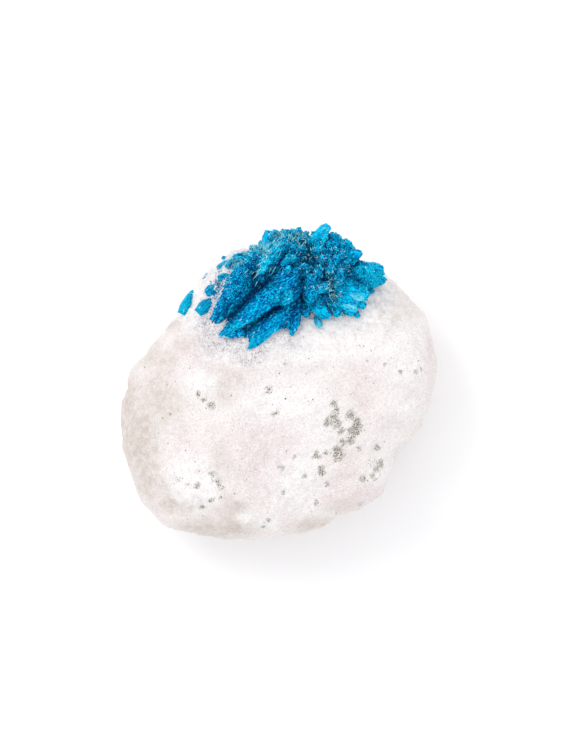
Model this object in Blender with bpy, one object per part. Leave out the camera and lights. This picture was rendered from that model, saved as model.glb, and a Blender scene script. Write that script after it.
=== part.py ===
"""Cavansite crystal cluster: a spray of blue crystals on a pale zeolite nodule.

The nodule lies on a flat broken facet. The spray sits over its rear edge, with single crystals beside it.
Lengths are written in millimetres and turned into metres when a mesh is made.
The origin is on the resting plane, under the middle of the whole specimen; +Z is up.
"""

import math

import bmesh
import bpy
import numpy as np

MM = 0.001

# The nodule: its plan radius every 15 degrees from +X, counter-clockwise.
NODULE_CENTRE = (0.0, -2.5)
PLAN_RADII = (
    21.5, 22.9, 23.6, 22.8, 21.0, 20.2, 20.2, 21.4, 20.0, 18.0, 18.8, 20.6,
    22.2, 23.0, 23.6, 23.9, 22.1, 20.5, 19.5, 18.8, 18.6, 19.7, 18.5, 19.7,
)
EQUATOR_HEIGHT = 10.5
TOP_RISE = 13.0
BOTTOM_DROP = 12.6
TOP_POWER = 2.6
BOTTOM_POWER = 2.2
GRID_CELLS = 17

# Swells and hollows of the nodule: x, y, z of the middle, reach, height.
SWELLS = (
    (17.5, 3.0, 18.0, 5.5, 0.9),
    (-9.8, 12.6, 19.0, 4.2, 1.7),
    (-14.5, 8.0, 15.0, 3.0, 0.5),
    (-11.0, -12.0, 20.0, 5.0, 0.5),
    (0.0, -14.0, 21.0, 5.0, -0.5),
    (-7.0, 0.5, 23.5, 4.5, -0.5),
    (5.0, -4.0, 23.5, 5.0, 0.4),
    (-17.0, -1.0, 17.0, 4.5, -0.4),
    (10.0, -8.5, 21.0, 2.8, -0.5),
)
# The valley that sets off the right-hand lobe, from the notch upwards.
VALLEY = ((16.8, -10.4, 11.0), (15.0, -7.0, 17.5), (12.6, -1.0, 20.8), (9.5, 5.0, 22.3))
VALLEY_DEPTH = 1.3
VALLEY_REACH = 1.9
# The fold that runs across the lower right shoulder.
FOLD = ((6.0, -16.8, 18.4), (9.5, -15.2, 18.8), (13.4, -13.4, 17.6))
FOLD_HEIGHT = 0.8
FOLD_REACH = 1.5
# The sugary crust: an oval apron that the blue spray stands in.
CRUST_CENTRE = (1.0, 12.0)
CRUST_RADII = (16.0, 9.5)
CRUST_HEIGHT = 0.8
# Its edge and the width of its fade, as shares of the radii, then the height at which it starts and its fade.
CRUST_EDGE = 1.15
CRUST_FADE = 0.3
CRUST_START = 8.0
CRUST_RISE = 5.0
# Low waves over the whole nodule, a quilted one and a slanting one: height, radians per millimetre, phase.
QUILT_HEIGHT = 0.22
QUILT_RATES = (0.62, 0.71)
QUILT_PHASES = (1.3, 0.4)
SLANT_HEIGHT = 0.16
SLANT_RATES = (1.1, 0.8, 0.9)
# Flat broken facets: compass bearing and lift of the outward normal, distance of the plane.
FACETS = (
    (-70.0, 42.0, 24.9),
    (-158.0, 40.0, 26.0),
    (152.0, 30.0, 22.6),
    (20.0, 38.0, 26.6),
    (-35.0, -30.0, 21.6),
    (70.0, -38.0, 19.8),
    (-120.0, -36.0, 21.6),
    (160.0, -40.0, 20.8),
)
FACET_ORIGIN = (0.0, -2.5, 8.0)
# The share that is taken off what stands over a facet's plane, so that the facet stays a little rounded.
FACET_CUT = 0.8

# Crystals keep this gap to the nodule.
SEAT_GAP = 0.35

# The solid heart of the spray: middle, radii, turn about Z.
HEARTS = (
    ((4.3, 14.4, 20.2), (6.6, 4.6, 4.6), 12.0),
    ((-1.3, 14.9, 20.4), (4.6, 3.4, 3.2), -20.0),
)
# Each lobe: root, tip, width, thickness, roll about its length, slimmer crystals along its flanks.
LOBES = (
    ((-2.2, 16.0, 24.3), (-9.5, 8.9, 22.5), 3.1, 2.0, -18, 2),
    ((-3.4, 16.2, 24.2), (-7.9, 13.3, 22.4), 1.9, 1.4, -25, 1),
    ((4.6, 15.0, 26.2), (-8.4, 6.5, 23.5), 4.0, 2.0, 12, 2),
    ((3.6, 15.8, 26.0), (-4.0, 11.0, 25.6), 2.4, 1.6, 24, 1),
    ((2.6, 12.1, 25.2), (-2.6, 9.9, 25.0), 2.2, 1.4, 20, 0),
    ((4.0, 11.6, 24.0), (-4.6, 4.8, 23.9), 2.9, 1.6, 8, 2),
    ((3.8, 11.6, 23.6), (-0.6, 7.1, 23.8), 2.0, 1.4, 0, 1),
    ((2.9, 11.2, 23.4), (2.0, 6.6, 23.8), 1.9, 1.4, 0, 0),
    ((2.8, 18.2, 25.2), (-3.1, 15.4, 24.4), 2.0, 1.4, 24, 1),
    ((1.5, 16.8, 23.2), (-1.6, 21.2, 20.0), 2.2, 1.3, 0, 1),
    ((2.4, 16.8, 23.6), (0.7, 21.4, 20.5), 2.4, 1.3, 10, 1),
    ((3.2, 16.8, 23.5), (3.2, 21.2, 20.4), 2.3, 1.3, 0, 1),
    ((4.5, 16.6, 24.2), (6.9, 22.3, 21.6), 2.0, 1.5, 0, 0),
    ((5.4, 16.2, 24.6), (8.6, 20.8, 20.9), 2.2, 1.4, 0, 1),
    ((6.4, 15.6, 24.5), (10.2, 19.8, 20.4), 2.2, 1.4, 0, 1),
    ((7.0, 15.1, 24.2), (11.7, 18.4, 20.2), 1.8, 1.4, 0, 1),
    ((7.6, 14.4, 22.6), (14.8, 16.2, 19.0), 3.3, 2.2, -10, 2),
    ((7.9, 13.8, 21.8), (15.1, 14.5, 18.0), 2.4, 1.7, -10, 1),
    ((8.9, 13.4, 20.8), (13.6, 12.8, 19.4), 1.6, 1.1, 0, 0),
    ((5.8, 13.8, 24.0), (12.7, 12.2, 21.5), 3.6, 2.2, 0, 2),
    ((6.4, 12.6, 23.6), (11.1, 10.2, 22.2), 2.0, 1.4, 0, 1),
    ((6.0, 13.0, 23.6), (8.3, 9.7, 22.9), 1.7, 1.3, 0, 0),
    ((4.6, 15.4, 25.9), (4.3, 11.0, 25.2), 2.9, 1.7, 0, 1),
    ((4.8, 13.0, 24.3), (6.3, 8.9, 23.5), 2.8, 1.6, 0, 1),
    ((0.4, 16.6, 23.4), (-6.0, 18.0, 19.4), 2.0, 1.4, 0, 1),
    ((-0.6, 15.8, 23.4), (-6.4, 16.4, 20.4), 2.0, 1.3, 0, 1),
    ((0.6, 17.2, 22.6), (-4.3, 19.2, 17.6), 2.0, 1.3, 0, 0),
    ((1.0, 17.2, 22.8), (-2.9, 19.9, 18.8), 2.0, 1.3, 0, 0),
    ((5.8, 14.0, 21.5), (7.5, 16.3, 26.7), 1.9, 1.6, 30, 0),
    ((6.6, 13.4, 21.5), (8.7, 15.0, 26.2), 2.3, 2.0, 0, 1),
    ((3.0, 15.6, 22.0), (1.4, 17.7, 26.3), 1.9, 1.5, 20, 0),
    ((2.6, 14.8, 22.0), (0.8, 15.9, 26.8), 2.1, 1.7, 0, 1),
    ((3.6, 15.8, 21.0), (3.1, 19.1, 25.2), 2.0, 1.6, 0, 0),
    ((4.4, 15.6, 21.0), (5.0, 18.8, 25.6), 2.0, 1.6, 40, 0),
    ((4.9, 14.9, 21.5), (6.2, 17.7, 26.2), 2.0, 1.7, 0, 1),
    ((3.9, 14.4, 22.0), (3.4, 16.3, 27.7), 2.2, 1.8, 0, 0),
    ((5.0, 13.8, 22.0), (5.6, 16.1, 27.4), 2.1, 1.8, 50, 0),
    ((5.6, 12.8, 21.5), (6.8, 13.6, 26.9), 2.2, 1.9, 0, 1),
)
# The rear of the spray fans out level over the nodule's edge: lift, reach and number of each row.
FAN_CENTRE = (4.0, 14.4, 18.2)
FAN_BEARINGS = (30.0, 150.0)
FAN_ROWS = ((-28.0, 6.0, 5), (-6.0, 6.4, 5), (16.0, 6.4, 4))
FAN_WIDTH = 2.4
FAN_THICKNESS = 1.7
# Where a blade of the fan starts, and how its lift, reach and roll swing from one blade to the next.
FAN_START = 2.0
FAN_LIFT_SWING = 5.0
FAN_REACH_SWING = 0.5
FAN_ROLL_SWING = 35.0
# How far every other row is set over, in blades.
FAN_STAGGER = 0.25

# A blade: shares of its length with the share of its full girth there, the width and slant of its chisel end.
BLADE_STATIONS = ((0, 0.62), (0.5, 1.0), (0.84, 0.8))
BLADE_END = 0.36
BLADE_SLANT = 0.03
BLADE_ROLL_SWING = 6.0
# A small prism: where its point starts along its length, and how far off its middle the point is.
PRISM_SHOULDER = 0.78
PRISM_LEAN = 0.15

# Small crystals that bristle on each lobe: their size, splay and foot along the lobe, and how far out it stands.
BRISTLES = 1
BRISTLE_WIDTH = (0.55, 0.95)
BRISTLE_LENGTH = (1.3, 2.1)
BRISTLE_SPLAY = (18.0, 42.0)
BRISTLE_FOOT = (0.35, 0.86)
BRISTLE_DEPTH = 0.35
BRISTLE_FLATNESS = 0.8
# Slimmer crystals along a lobe: their share of its width, and how far out their feet and tips stand.
FLANK_SHARE = (0.34, 0.5)
FLANK_DEPTH = 0.45
FLANK_SPREAD = 0.95
# Where their feet and tips are along the lobe, from its root and from its tip.
FLANK_FOOT = (0.2, 0.4)
FLANK_TOP = (0.1, 0.3)
FLANK_FLATNESS = 0.7
# How far each strays from an even turn round the lobe, in radians, and from the lobe's roll, in degrees.
FLANK_TURN_SWING = 0.5
FLANK_ROLL_SWING = 40.0

# Single crystals in the crust: name, root, tip, width, thickness, roll.
SINGLES = (
    ("crystal_left_tip", (-11.9, 13.2, 16.2), (-13.9, 10.1, 17.6), 1.7, 1.5, 20),
    ("crystal_mound_lower", (-9.3, 11.8, 20.6), (-11.5, 10.3, 21.7), 1.7, 1.6, 10),
    ("crystal_mound_middle", (-8.9, 13.5, 19.8), (-10.5, 12.9, 21.6), 1.8, 1.4, 0),
    ("crystal_mound_upper", (-7.0, 15.2, 19.8), (-8.6, 14.6, 21.3), 1.1, 1.0, 0),
    ("crystal_mound_edge", (-10.0, 15.8, 15.0), (-11.0, 14.2, 18.9), 1.1, 1.0, 0),
    ("crystal_mound_sliver", (-7.2, 17.2, 16.9), (-8.8, 16.1, 18.9), 0.9, 0.9, 0),
    ("crystal_mound_splinter", (-6.4, 17.6, 17.0), (-7.5, 16.3, 19.9), 0.9, 0.9, 0),
    ("crystal_crest", (-7.0, 17.6, 14.2), (-8.2, 18.2, 15.6), 0.9, 0.9, 0),
    ("crystal_front_chip", (5.1, 9.2, 22.7), (5.8, 7.8, 24.1), 1.1, 1.0, 0),
    ("crystal_front_right_chip", (10.4, 10.2, 21.2), (11.2, 9.2, 22.9), 1.0, 0.9, 0),
)

# The share of its width that a single crystal's blunt end keeps.
SINGLE_END = 0.7
# The smaller crystal at its side: how far over it stands, its lean, what it is shorter by, its width and roll.
TWIN_OFFSET = 0.3
TWIN_LEAN = 1.4
TWIN_SHORTER = 0.16
TWIN_WIDTH = 0.6
TWIN_ROLL = 20.0

SEED = 8


def clear_scene():
    """Takes every object of the open scene away."""
    for obj in list(bpy.data.objects):
        bpy.data.objects.remove(obj, do_unlink=True)


def linear(hex_colour):
    """The linear values of an sRGB hex colour."""
    channels = [int(hex_colour[i : i + 2], 16) / 255 for i in (0, 2, 4)]
    return [c / 12.92 if c <= 0.04045 else ((c + 0.055) / 1.055) ** 2.4 for c in channels]


def finish(name, hex_colour, roughness, transmission=0.0, ior=1.5):
    """A Principled finish of one colour."""
    made = bpy.data.materials.new(name)
    made.use_nodes = True
    shader = made.node_tree.nodes["Principled BSDF"]
    shader.inputs["Base Color"].default_value = (*linear(hex_colour), 1.0)
    shader.inputs["Roughness"].default_value = roughness
    shader.inputs["Metallic"].default_value = 0.0
    shader.inputs["Transmission Weight"].default_value = transmission
    shader.inputs["IOR"].default_value = ior
    made.diffuse_color = (*linear(hex_colour), 1.0)
    return made


def new_object(name, points, faces, material):
    """An object whose mesh has these points, in millimetres, and faces."""
    mesh = bpy.data.meshes.new(name)
    mesh.from_pydata((np.asarray(points) * MM).tolist(), [], faces)
    mesh.materials.append(material)
    mesh.validate()
    obj = bpy.data.objects.new(name, mesh)
    bpy.context.scene.collection.objects.link(obj)
    return obj


def helper(obj):
    """Marks an object as a cutter or a joining piece that isn't part of the specimen."""
    obj.hide_render = True
    obj.display_type = "WIRE"
    return obj


def plan_radius(bearing):
    """The nodule's plan radius at a bearing in radians: a Catmull-Rom curve through PLAN_RADII."""
    radii = np.asarray(PLAN_RADII)
    count = len(radii)
    place = np.mod(bearing / (2 * math.pi) * count, count)
    first = np.floor(place).astype(int)
    t = place - first
    a, b, c, d = (radii[(first + k) % count] for k in (-1, 0, 1, 2))
    square, cube = 2 * a - 5 * b + 4 * c - d, 3 * b - a - 3 * c + d
    return 0.5 * (2 * b + (c - a) * t + square * t**2 + cube * t**3)


def cube_sphere(cells):
    """Directions and four-sided faces of a cube's grid blown up to a sphere, with its seams merged."""
    steps = np.tan(np.linspace(-1, 1, cells + 1) * math.pi / 4)
    u, v = (grid.ravel() for grid in np.meshgrid(steps, steps, indexing="ij"))
    one = np.ones_like(u)
    sides = ((u, v, one), (v, u, -one), (one, u, v), (-one, v, u), (v, one, u), (u, -one, v))
    directions = np.concatenate([np.stack(side, axis=1) for side in sides])
    directions /= np.linalg.norm(directions, axis=1, keepdims=True)
    corner = np.arange((cells + 1) ** 2).reshape(cells + 1, cells + 1)
    quad = np.stack([corner[:-1, :-1], corner[1:, :-1], corner[1:, 1:], corner[:-1, 1:]], axis=-1)
    quads = np.concatenate([quad.reshape(-1, 4) + k * corner.size for k in range(6)])
    _, first, index = np.unique(np.round(directions, 6), axis=0, return_index=True, return_inverse=True)
    return directions[first], index.reshape(-1)[quads]


def distance_to_path(points, path):
    """How far each point is from a path of straight runs."""
    nearest = np.full(len(points), np.inf)
    for start, end in zip(np.asarray(path[:-1]), np.asarray(path[1:])):
        run = end - start
        along = np.clip((points - start) @ run / (run @ run), 0, 1)
        nearest = np.minimum(nearest, np.linalg.norm(points - start - along[:, None] * run, axis=1))
    return nearest


def relief(points):
    """The height of swells, valley, fold and crust at each point of the smooth nodule."""
    height = np.zeros(len(points))
    for x, y, z, reach, rise in SWELLS:
        height += rise * np.exp(-(np.linalg.norm(points - (x, y, z), axis=1) ** 2) / reach**2)
    height -= VALLEY_DEPTH * np.exp(-(distance_to_path(points, VALLEY) / VALLEY_REACH) ** 2)
    height += FOLD_HEIGHT * np.exp(-(distance_to_path(points, FOLD) / FOLD_REACH) ** 2)
    oval = np.linalg.norm((points[:, :2] - CRUST_CENTRE) / CRUST_RADII, axis=1)
    apron = np.clip((CRUST_EDGE - oval) / CRUST_FADE, 0, 1)
    height += CRUST_HEIGHT * apron * np.clip((points[:, 2] - CRUST_START) / CRUST_RISE, 0, 1)
    quilt = np.sin(points[:, :2] * QUILT_RATES + QUILT_PHASES)
    height += QUILT_HEIGHT * quilt[:, 0] * quilt[:, 1]
    height += SLANT_HEIGHT * np.sin(points @ SLANT_RATES)
    return height


def nodule_points(directions):
    """The nodule's surface: a superellipse in height over the plan outline, plus relief, cut by facets."""
    bearing = np.arctan2(directions[:, 1], directions[:, 0])
    flat = np.hypot(directions[:, 0], directions[:, 1])
    upper = directions[:, 2] >= 0
    power = np.where(upper, TOP_POWER, BOTTOM_POWER)
    depth = np.where(upper, TOP_RISE, BOTTOM_DROP)
    share = flat ** (2 / power)
    lift = np.sign(directions[:, 2]) * np.abs(directions[:, 2]) ** (2 / power)
    radius = plan_radius(bearing)
    points = np.stack(
        [
            NODULE_CENTRE[0] + radius * share * np.cos(bearing),
            NODULE_CENTRE[1] + radius * share * np.sin(bearing),
            EQUATOR_HEIGHT + depth * lift,
        ],
        axis=1,
    )
    slope = share ** (power - 1) / radius
    normal = np.stack(
        [
            slope * np.cos(bearing),
            slope * np.sin(bearing),
            np.sign(lift) * np.abs(lift) ** (power - 1) / depth,
        ],
        axis=1,
    )
    normal /= np.linalg.norm(normal, axis=1, keepdims=True)
    points += normal * relief(points)[:, None]
    for bearing, rise, reach in FACETS:
        bearing, rise = math.radians(bearing), math.radians(rise)
        out = np.array([math.cos(rise) * math.cos(bearing), math.cos(rise) * math.sin(bearing), math.sin(rise)])
        over = np.maximum((points - FACET_ORIGIN) @ out - reach, 0)
        points -= FACET_CUT * over[:, None] * out
    return points


def cut_base(obj):
    """Cuts the mesh off flat at the resting plane."""
    mesh = bmesh.new()
    mesh.from_mesh(obj.data)
    everything = mesh.verts[:] + mesh.edges[:] + mesh.faces[:]
    below = {"plane_co": (0, 0, 0), "plane_no": (0, 0, -1), "clear_outer": True}
    cut = bmesh.ops.bisect_plane(mesh, geom=everything, **below)
    rim = [item for item in cut["geom_cut"] if isinstance(item, bmesh.types.BMEdge)]
    bmesh.ops.edgeloop_fill(mesh, edges=rim)
    bmesh.ops.recalc_face_normals(mesh, faces=mesh.faces[:])
    mesh.to_mesh(obj.data)
    mesh.free()


def build_matrix(material):
    """The nodule with its flat resting facet."""
    directions, faces = cube_sphere(GRID_CELLS)
    obj = new_object("matrix", nodule_points(directions), faces.tolist(), material)
    cut_base(obj)
    return obj


def build_seat(matrix, material):
    """The nodule swollen by the gap, which cuts the underside of every crystal."""
    seat = new_object("seat", [], [], material)
    seat.data = matrix.data.copy()
    mesh = bmesh.new()
    mesh.from_mesh(seat.data)
    mesh.normal_update()
    moved = [vert.co + vert.normal * SEAT_GAP * MM for vert in mesh.verts]
    for vert, place in zip(mesh.verts, moved):
        vert.co = place
    mesh.to_mesh(seat.data)
    mesh.free()
    return helper(seat)


def unit(vector):
    return vector / np.linalg.norm(vector)


def axes_of(root, tip, roll):
    """Length direction, side direction and face direction of a crystal, rolled about its length."""
    along = unit(tip - root)
    reference = np.array([0.0, 0.0, 1.0]) if abs(along[2]) < 0.9 else np.array([0.0, 1.0, 0.0])
    side = unit(np.cross(reference, along))
    face = np.cross(along, side)
    turn = math.radians(roll)
    return along, side * math.cos(turn) + face * math.sin(turn), face * math.cos(turn) - side * math.sin(turn)


def blade(root, tip, width, thickness, roll, end=BLADE_END):
    """A flat six-sided crystal, widest in its middle, whose bevelled chisel end is a share of its width."""
    along, side, face = axes_of(root, tip, roll)
    outline = ((1, 0), (0.5, 1), (-0.5, 1), (-1, 0), (-0.5, -1), (0.5, -1))
    length = np.linalg.norm(tip - root)
    points = []
    for share, scale in BLADE_STATIONS:
        for a, b in outline:
            spread = side * a * width / 2 + face * b * thickness / 2
            points.append(root + along * length * share + spread * scale)
    points.append(tip + side * width * end / 2)
    points.append(tip - side * width * end / 2 - along * length * BLADE_SLANT)
    faces = [tuple(range(5, -1, -1))]
    for ring in (0, 6):
        for k in range(6):
            after = (k + 1) % 6
            faces.append((ring + k, ring + after, ring + 6 + after, ring + 6 + k))
    right, left = 18, 19
    faces += [(12, 13, right), (13, 14, left, right), (14, 15, left)]
    faces += [(15, 16, left), (16, 17, right, left), (17, 12, right)]
    return points, faces


def prism(root, tip, width, thickness, roll):
    """A small four-sided crystal with a slanting point."""
    along, side, face = axes_of(root, tip, roll)
    shoulder = root + (tip - root) * PRISM_SHOULDER
    corners = ((1, 0), (0, 1), (-1, 0), (0, -1))
    spreads = [side * a * width / 2 + face * b * thickness / 2 for a, b in corners]
    points = [root + s for s in spreads] + [shoulder + s for s in spreads]
    points.append(tip + side * width * PRISM_LEAN)
    faces = [(3, 2, 1, 0)]
    faces += [(k, (k + 1) % 4, 4 + (k + 1) % 4, 4 + k) for k in range(4)]
    faces += [(4 + k, 4 + (k + 1) % 4, 8) for k in range(4)]
    return points, faces


def sheaf(root, tip, width, thickness, roll, flanks, random):
    """A broad blade with slimmer crystals grown along its flanks and small ones that bristle from it."""
    root, tip = np.array(root), np.array(tip)
    along, side, face = axes_of(root, tip, roll)
    length = np.linalg.norm(tip - root)
    swing = random.uniform(-BLADE_ROLL_SWING, BLADE_ROLL_SWING)
    shapes = [blade(root, tip, width, thickness, roll + swing)]
    for k in range(flanks):
        turn = math.pi * (2 * k + 1) / flanks + random.uniform(-FLANK_TURN_SWING, FLANK_TURN_SWING)
        out = side * math.cos(turn) * width / 2 + face * math.sin(turn) * thickness / 2
        foot = root + along * length * random.uniform(*FLANK_FOOT) + out * FLANK_DEPTH
        top = tip - along * length * random.uniform(*FLANK_TOP) + out * FLANK_SPREAD
        slim = width * random.uniform(*FLANK_SHARE)
        twist = random.uniform(-FLANK_ROLL_SWING, FLANK_ROLL_SWING)
        shapes.append(prism(foot, top, slim, slim * FLANK_FLATNESS, roll + twist))
    for _ in range(BRISTLES):
        shapes.append(bristle(root, tip, width, thickness, along, side, face, random))
    return shapes


def bristle(start, end, width, thickness, along, side, face, random):
    """A small crystal that leans out of a blade towards its tip."""
    share = random.uniform(*BRISTLE_FOOT)
    turn = random.uniform(0, 2 * math.pi)
    out = side * math.cos(turn) + face * math.sin(turn)
    splay = math.radians(random.uniform(*BRISTLE_SPLAY))
    heading = along * math.cos(splay) + out * math.sin(splay)
    reach = side * math.cos(turn) * width / 2 + face * math.sin(turn) * thickness / 2
    foot = start + (end - start) * share + reach * BRISTLE_DEPTH
    wide = random.uniform(*BRISTLE_WIDTH)
    top = foot + heading * random.uniform(*BRISTLE_LENGTH)
    return prism(foot, top, wide, wide * BRISTLE_FLATNESS, random.uniform(0, 90))


def fan_lobes():
    """Root, tip and size of each blade in the rear fan, row by row."""
    centre = np.array(FAN_CENTRE)
    for row, (lift, reach, count) in enumerate(FAN_ROWS):
        for k in range(count):
            bearing = math.radians(np.interp(k + FAN_STAGGER * (row % 2), (0, count - 1), FAN_BEARINGS))
            rise = math.radians(lift + FAN_LIFT_SWING * math.sin(3.1 * k + row))
            out = np.array([math.cos(rise) * math.cos(bearing), math.cos(rise) * math.sin(bearing), math.sin(rise)])
            tip = centre + out * (reach + FAN_REACH_SWING * math.sin(2.3 * k + row))
            yield centre + out * FAN_START, tip, FAN_WIDTH, FAN_THICKNESS, FAN_ROLL_SWING * math.sin(1.7 * k), 1


def heart(middle, radii, turn):
    """A closed egg of flat faces."""
    mesh = bmesh.new()
    bmesh.ops.create_icosphere(mesh, subdivisions=2, radius=1.0)
    turn = math.radians(turn)
    rows = []
    for vert in mesh.verts:
        x, y, z = vert.co.x * radii[0], vert.co.y * radii[1], vert.co.z * radii[2]
        rows.append((
            middle[0] + x * math.cos(turn) - y * math.sin(turn),
            middle[1] + x * math.sin(turn) + y * math.cos(turn),
            middle[2] + z,
        ))
    faces = [tuple(vert.index for vert in face.verts) for face in mesh.faces]
    mesh.free()
    return rows, faces


def boolean(obj, other, operation):
    """Adds a Boolean of the object with another: the exact solver leaves walls too thin to keep here."""
    modifier = obj.modifiers.new(operation.title(), "BOOLEAN")
    modifier.operation = operation
    modifier.solver = "MANIFOLD"
    modifier.object = other


def grow_together(obj, shapes, material):
    """Joins the object with closed shapes, one after the other, into one solid."""
    grown = [helper(new_object("grown", points, faces, material)) for points, faces in shapes]
    for other in grown:
        boolean(obj, other, "UNION")
    settle(obj)
    for other in grown:
        bpy.data.objects.remove(other, do_unlink=True)


def settle(obj):
    """Fixes the modifiers' result in the mesh and drops chips that the cut has freed."""
    bpy.context.view_layer.update()
    graph = bpy.context.evaluated_depsgraph_get()
    result = bpy.data.meshes.new_from_object(obj.evaluated_get(graph))
    obj.modifiers.clear()
    obj.data = result
    mesh = bmesh.new()
    mesh.from_mesh(result)
    left, largest = set(mesh.verts), []
    while left:
        island, edge = [], [next(iter(left))]
        left.discard(edge[0])
        while edge:
            vert = edge.pop()
            island.append(vert)
            for link in vert.link_edges:
                other = link.other_vert(vert)
                if other in left:
                    left.discard(other)
                    edge.append(other)
        if len(island) > len(largest):
            largest = island
    keep = set(largest)
    bmesh.ops.delete(mesh, geom=[vert for vert in mesh.verts if vert not in keep], context="VERTS")
    mesh.to_mesh(result)
    mesh.free()


def build_cluster(seat, material):
    """The spray: every lobe joined with the heart, then cut to its seat on the nodule."""
    random = np.random.default_rng(SEED)
    shapes = []
    for lobe in (*LOBES, *fan_lobes()):
        shapes += sheaf(*lobe, random)
    cluster = new_object("cavansite_cluster", *heart(*HEARTS[0]), material)
    grow_together(cluster, [heart(*HEARTS[1]), *shapes], material)
    boolean(cluster, seat, "DIFFERENCE")
    settle(cluster)


def build_single(name, root, tip, width, thickness, roll, seat, material, random):
    """One crystal in the crust: a blade with a smaller one grown to its side."""
    root, tip = np.array(root), np.array(tip)
    _, side, face = axes_of(root, tip, roll)
    beside = side * width * TWIN_OFFSET + face * thickness * random.uniform(-TWIN_OFFSET, TWIN_OFFSET)
    top = tip + beside * TWIN_LEAN - (tip - root) * TWIN_SHORTER
    small = prism(root + beside, top, width * TWIN_WIDTH, thickness, roll + TWIN_ROLL)
    crystal = new_object(name, *blade(root, tip, width, thickness, roll, SINGLE_END), material)
    grow_together(crystal, [small], material)
    boolean(crystal, seat, "DIFFERENCE")
    settle(crystal)


def main():
    clear_scene()
    zeolite = finish("zeolite", "EFE7E2", 0.75)
    cavansite = finish("cavansite", "0A93C4", 0.35, transmission=0.1, ior=1.54)
    matrix = build_matrix(zeolite)
    seat = build_seat(matrix, zeolite)
    build_cluster(seat, cavansite)
    random = np.random.default_rng(SEED + 1)
    for single in SINGLES:
        build_single(*single, seat, cavansite, random)


main()
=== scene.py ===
"""Dresses the cavansite specimen: a chalky zeolite nodule with a sugary crust and a vivid blue spray.

Shapes are worked out in millimetres, in the frame's own axes, and turned into metres when a mesh is made.
"""

import math

import bpy
import numpy as np
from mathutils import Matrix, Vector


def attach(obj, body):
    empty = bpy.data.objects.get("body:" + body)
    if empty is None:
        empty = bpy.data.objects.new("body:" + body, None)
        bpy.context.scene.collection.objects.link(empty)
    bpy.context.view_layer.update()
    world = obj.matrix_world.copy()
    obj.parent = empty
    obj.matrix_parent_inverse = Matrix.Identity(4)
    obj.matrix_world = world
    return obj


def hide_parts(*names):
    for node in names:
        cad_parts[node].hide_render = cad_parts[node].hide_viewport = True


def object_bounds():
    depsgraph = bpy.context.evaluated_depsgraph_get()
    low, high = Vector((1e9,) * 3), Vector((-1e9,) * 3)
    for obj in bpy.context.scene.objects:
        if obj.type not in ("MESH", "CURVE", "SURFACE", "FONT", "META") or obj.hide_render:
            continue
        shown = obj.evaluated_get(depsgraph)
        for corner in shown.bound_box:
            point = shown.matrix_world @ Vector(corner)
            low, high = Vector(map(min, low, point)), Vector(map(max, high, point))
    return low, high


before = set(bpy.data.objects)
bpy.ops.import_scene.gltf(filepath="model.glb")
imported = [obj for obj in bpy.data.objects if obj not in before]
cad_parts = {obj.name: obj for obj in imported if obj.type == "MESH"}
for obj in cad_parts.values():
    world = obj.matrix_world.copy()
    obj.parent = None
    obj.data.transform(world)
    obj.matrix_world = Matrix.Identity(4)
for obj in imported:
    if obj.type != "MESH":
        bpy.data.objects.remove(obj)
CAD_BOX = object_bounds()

MM = 0.001
BODY = "root"
# The solid model's box in millimetres, and how far inside it big surfaces and small shapes stay.
BOX_LOW, BOX_HIGH = (np.array(corner) / MM for corner in CAD_BOX)
LOW_GAP = (0.01, 0.01, 0.0)
HIGH_GAP = 0.01
SHAPE_GAP = 0.02

# The nodule: its plan radius every 15 degrees from +X, counter-clockwise.
NODULE_CENTRE = (0.0, -2.5)
PLAN_RADII = (
    21.5, 22.9, 23.6, 22.8, 21.0, 20.2, 20.2, 21.4, 20.0, 18.0, 18.8, 20.6,
    22.2, 23.0, 23.6, 23.9, 22.1, 20.5, 19.5, 18.8, 18.6, 19.7, 18.5, 19.7,
)
EQUATOR_HEIGHT = 10.5
TOP_RISE = 13.0
BOTTOM_DROP = 12.6
TOP_POWER = 2.6
BOTTOM_POWER = 2.2
STONE_CELLS = 127
# The largest share of the plan radius at which a place on the upper side is looked for.
RIM_SHARE = 0.999

# Swells and hollows of the nodule: x, y, z of the middle, reach, height.
SWELLS = (
    (17.5, 3.0, 18.0, 5.5, 0.9),
    (-9.8, 12.6, 19.0, 4.2, 1.7),
    (-14.5, 8.0, 15.0, 3.0, 0.5),
    (-11.0, -12.0, 20.0, 5.0, 0.5),
    (0.0, -14.0, 21.0, 5.0, -0.5),
    (-7.0, 0.5, 23.5, 4.5, -0.5),
    (5.0, -4.0, 23.5, 5.0, 0.4),
    (-17.0, -1.0, 17.0, 4.5, -0.4),
    (10.0, -8.5, 21.0, 2.8, -0.5),
)
VALLEY = ((16.8, -10.4, 11.0), (15.0, -7.0, 17.5), (12.6, -1.0, 20.8), (9.5, 5.0, 22.3))
VALLEY_DEPTH = 1.3
VALLEY_REACH = 1.9
FOLD = ((6.0, -16.8, 18.4), (9.5, -15.2, 18.8), (13.4, -13.4, 17.6))
FOLD_HEIGHT = 0.8
FOLD_REACH = 1.5
CRUST_CENTRE = (1.0, 12.0)
CRUST_RADII = (16.0, 9.5)
CRUST_HEIGHT = 0.8
# Where the crust begins and is full: shares of its oval's radii, and heights.
CRUST_FADE = (1.15, 0.85)
CRUST_FOOT = (8.0, 13.0)
# Slow undulations: height and radians to a millimetre along the axes, and where a chequered one starts.
CHEQUER = (0.22, (0.62, 0.71), (1.3, 0.4))
SLANT = (0.16, (1.1, 0.8, 0.9))
# Flat broken facets: bearing from +X and lift of the outward normal in degrees, distance of the plane.
FACETS = (
    (-70.0, 42.0, 24.9),
    (-158.0, 40.0, 26.0),
    (152.0, 30.0, 22.6),
    (20.0, 38.0, 26.6),
    (-35.0, -30.0, 21.6),
    (70.0, -38.0, 19.8),
    (-120.0, -36.0, 21.6),
    (160.0, -40.0, 20.8),
)
FACET_ORIGIN = (0.0, -2.5, 8.0)
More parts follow.
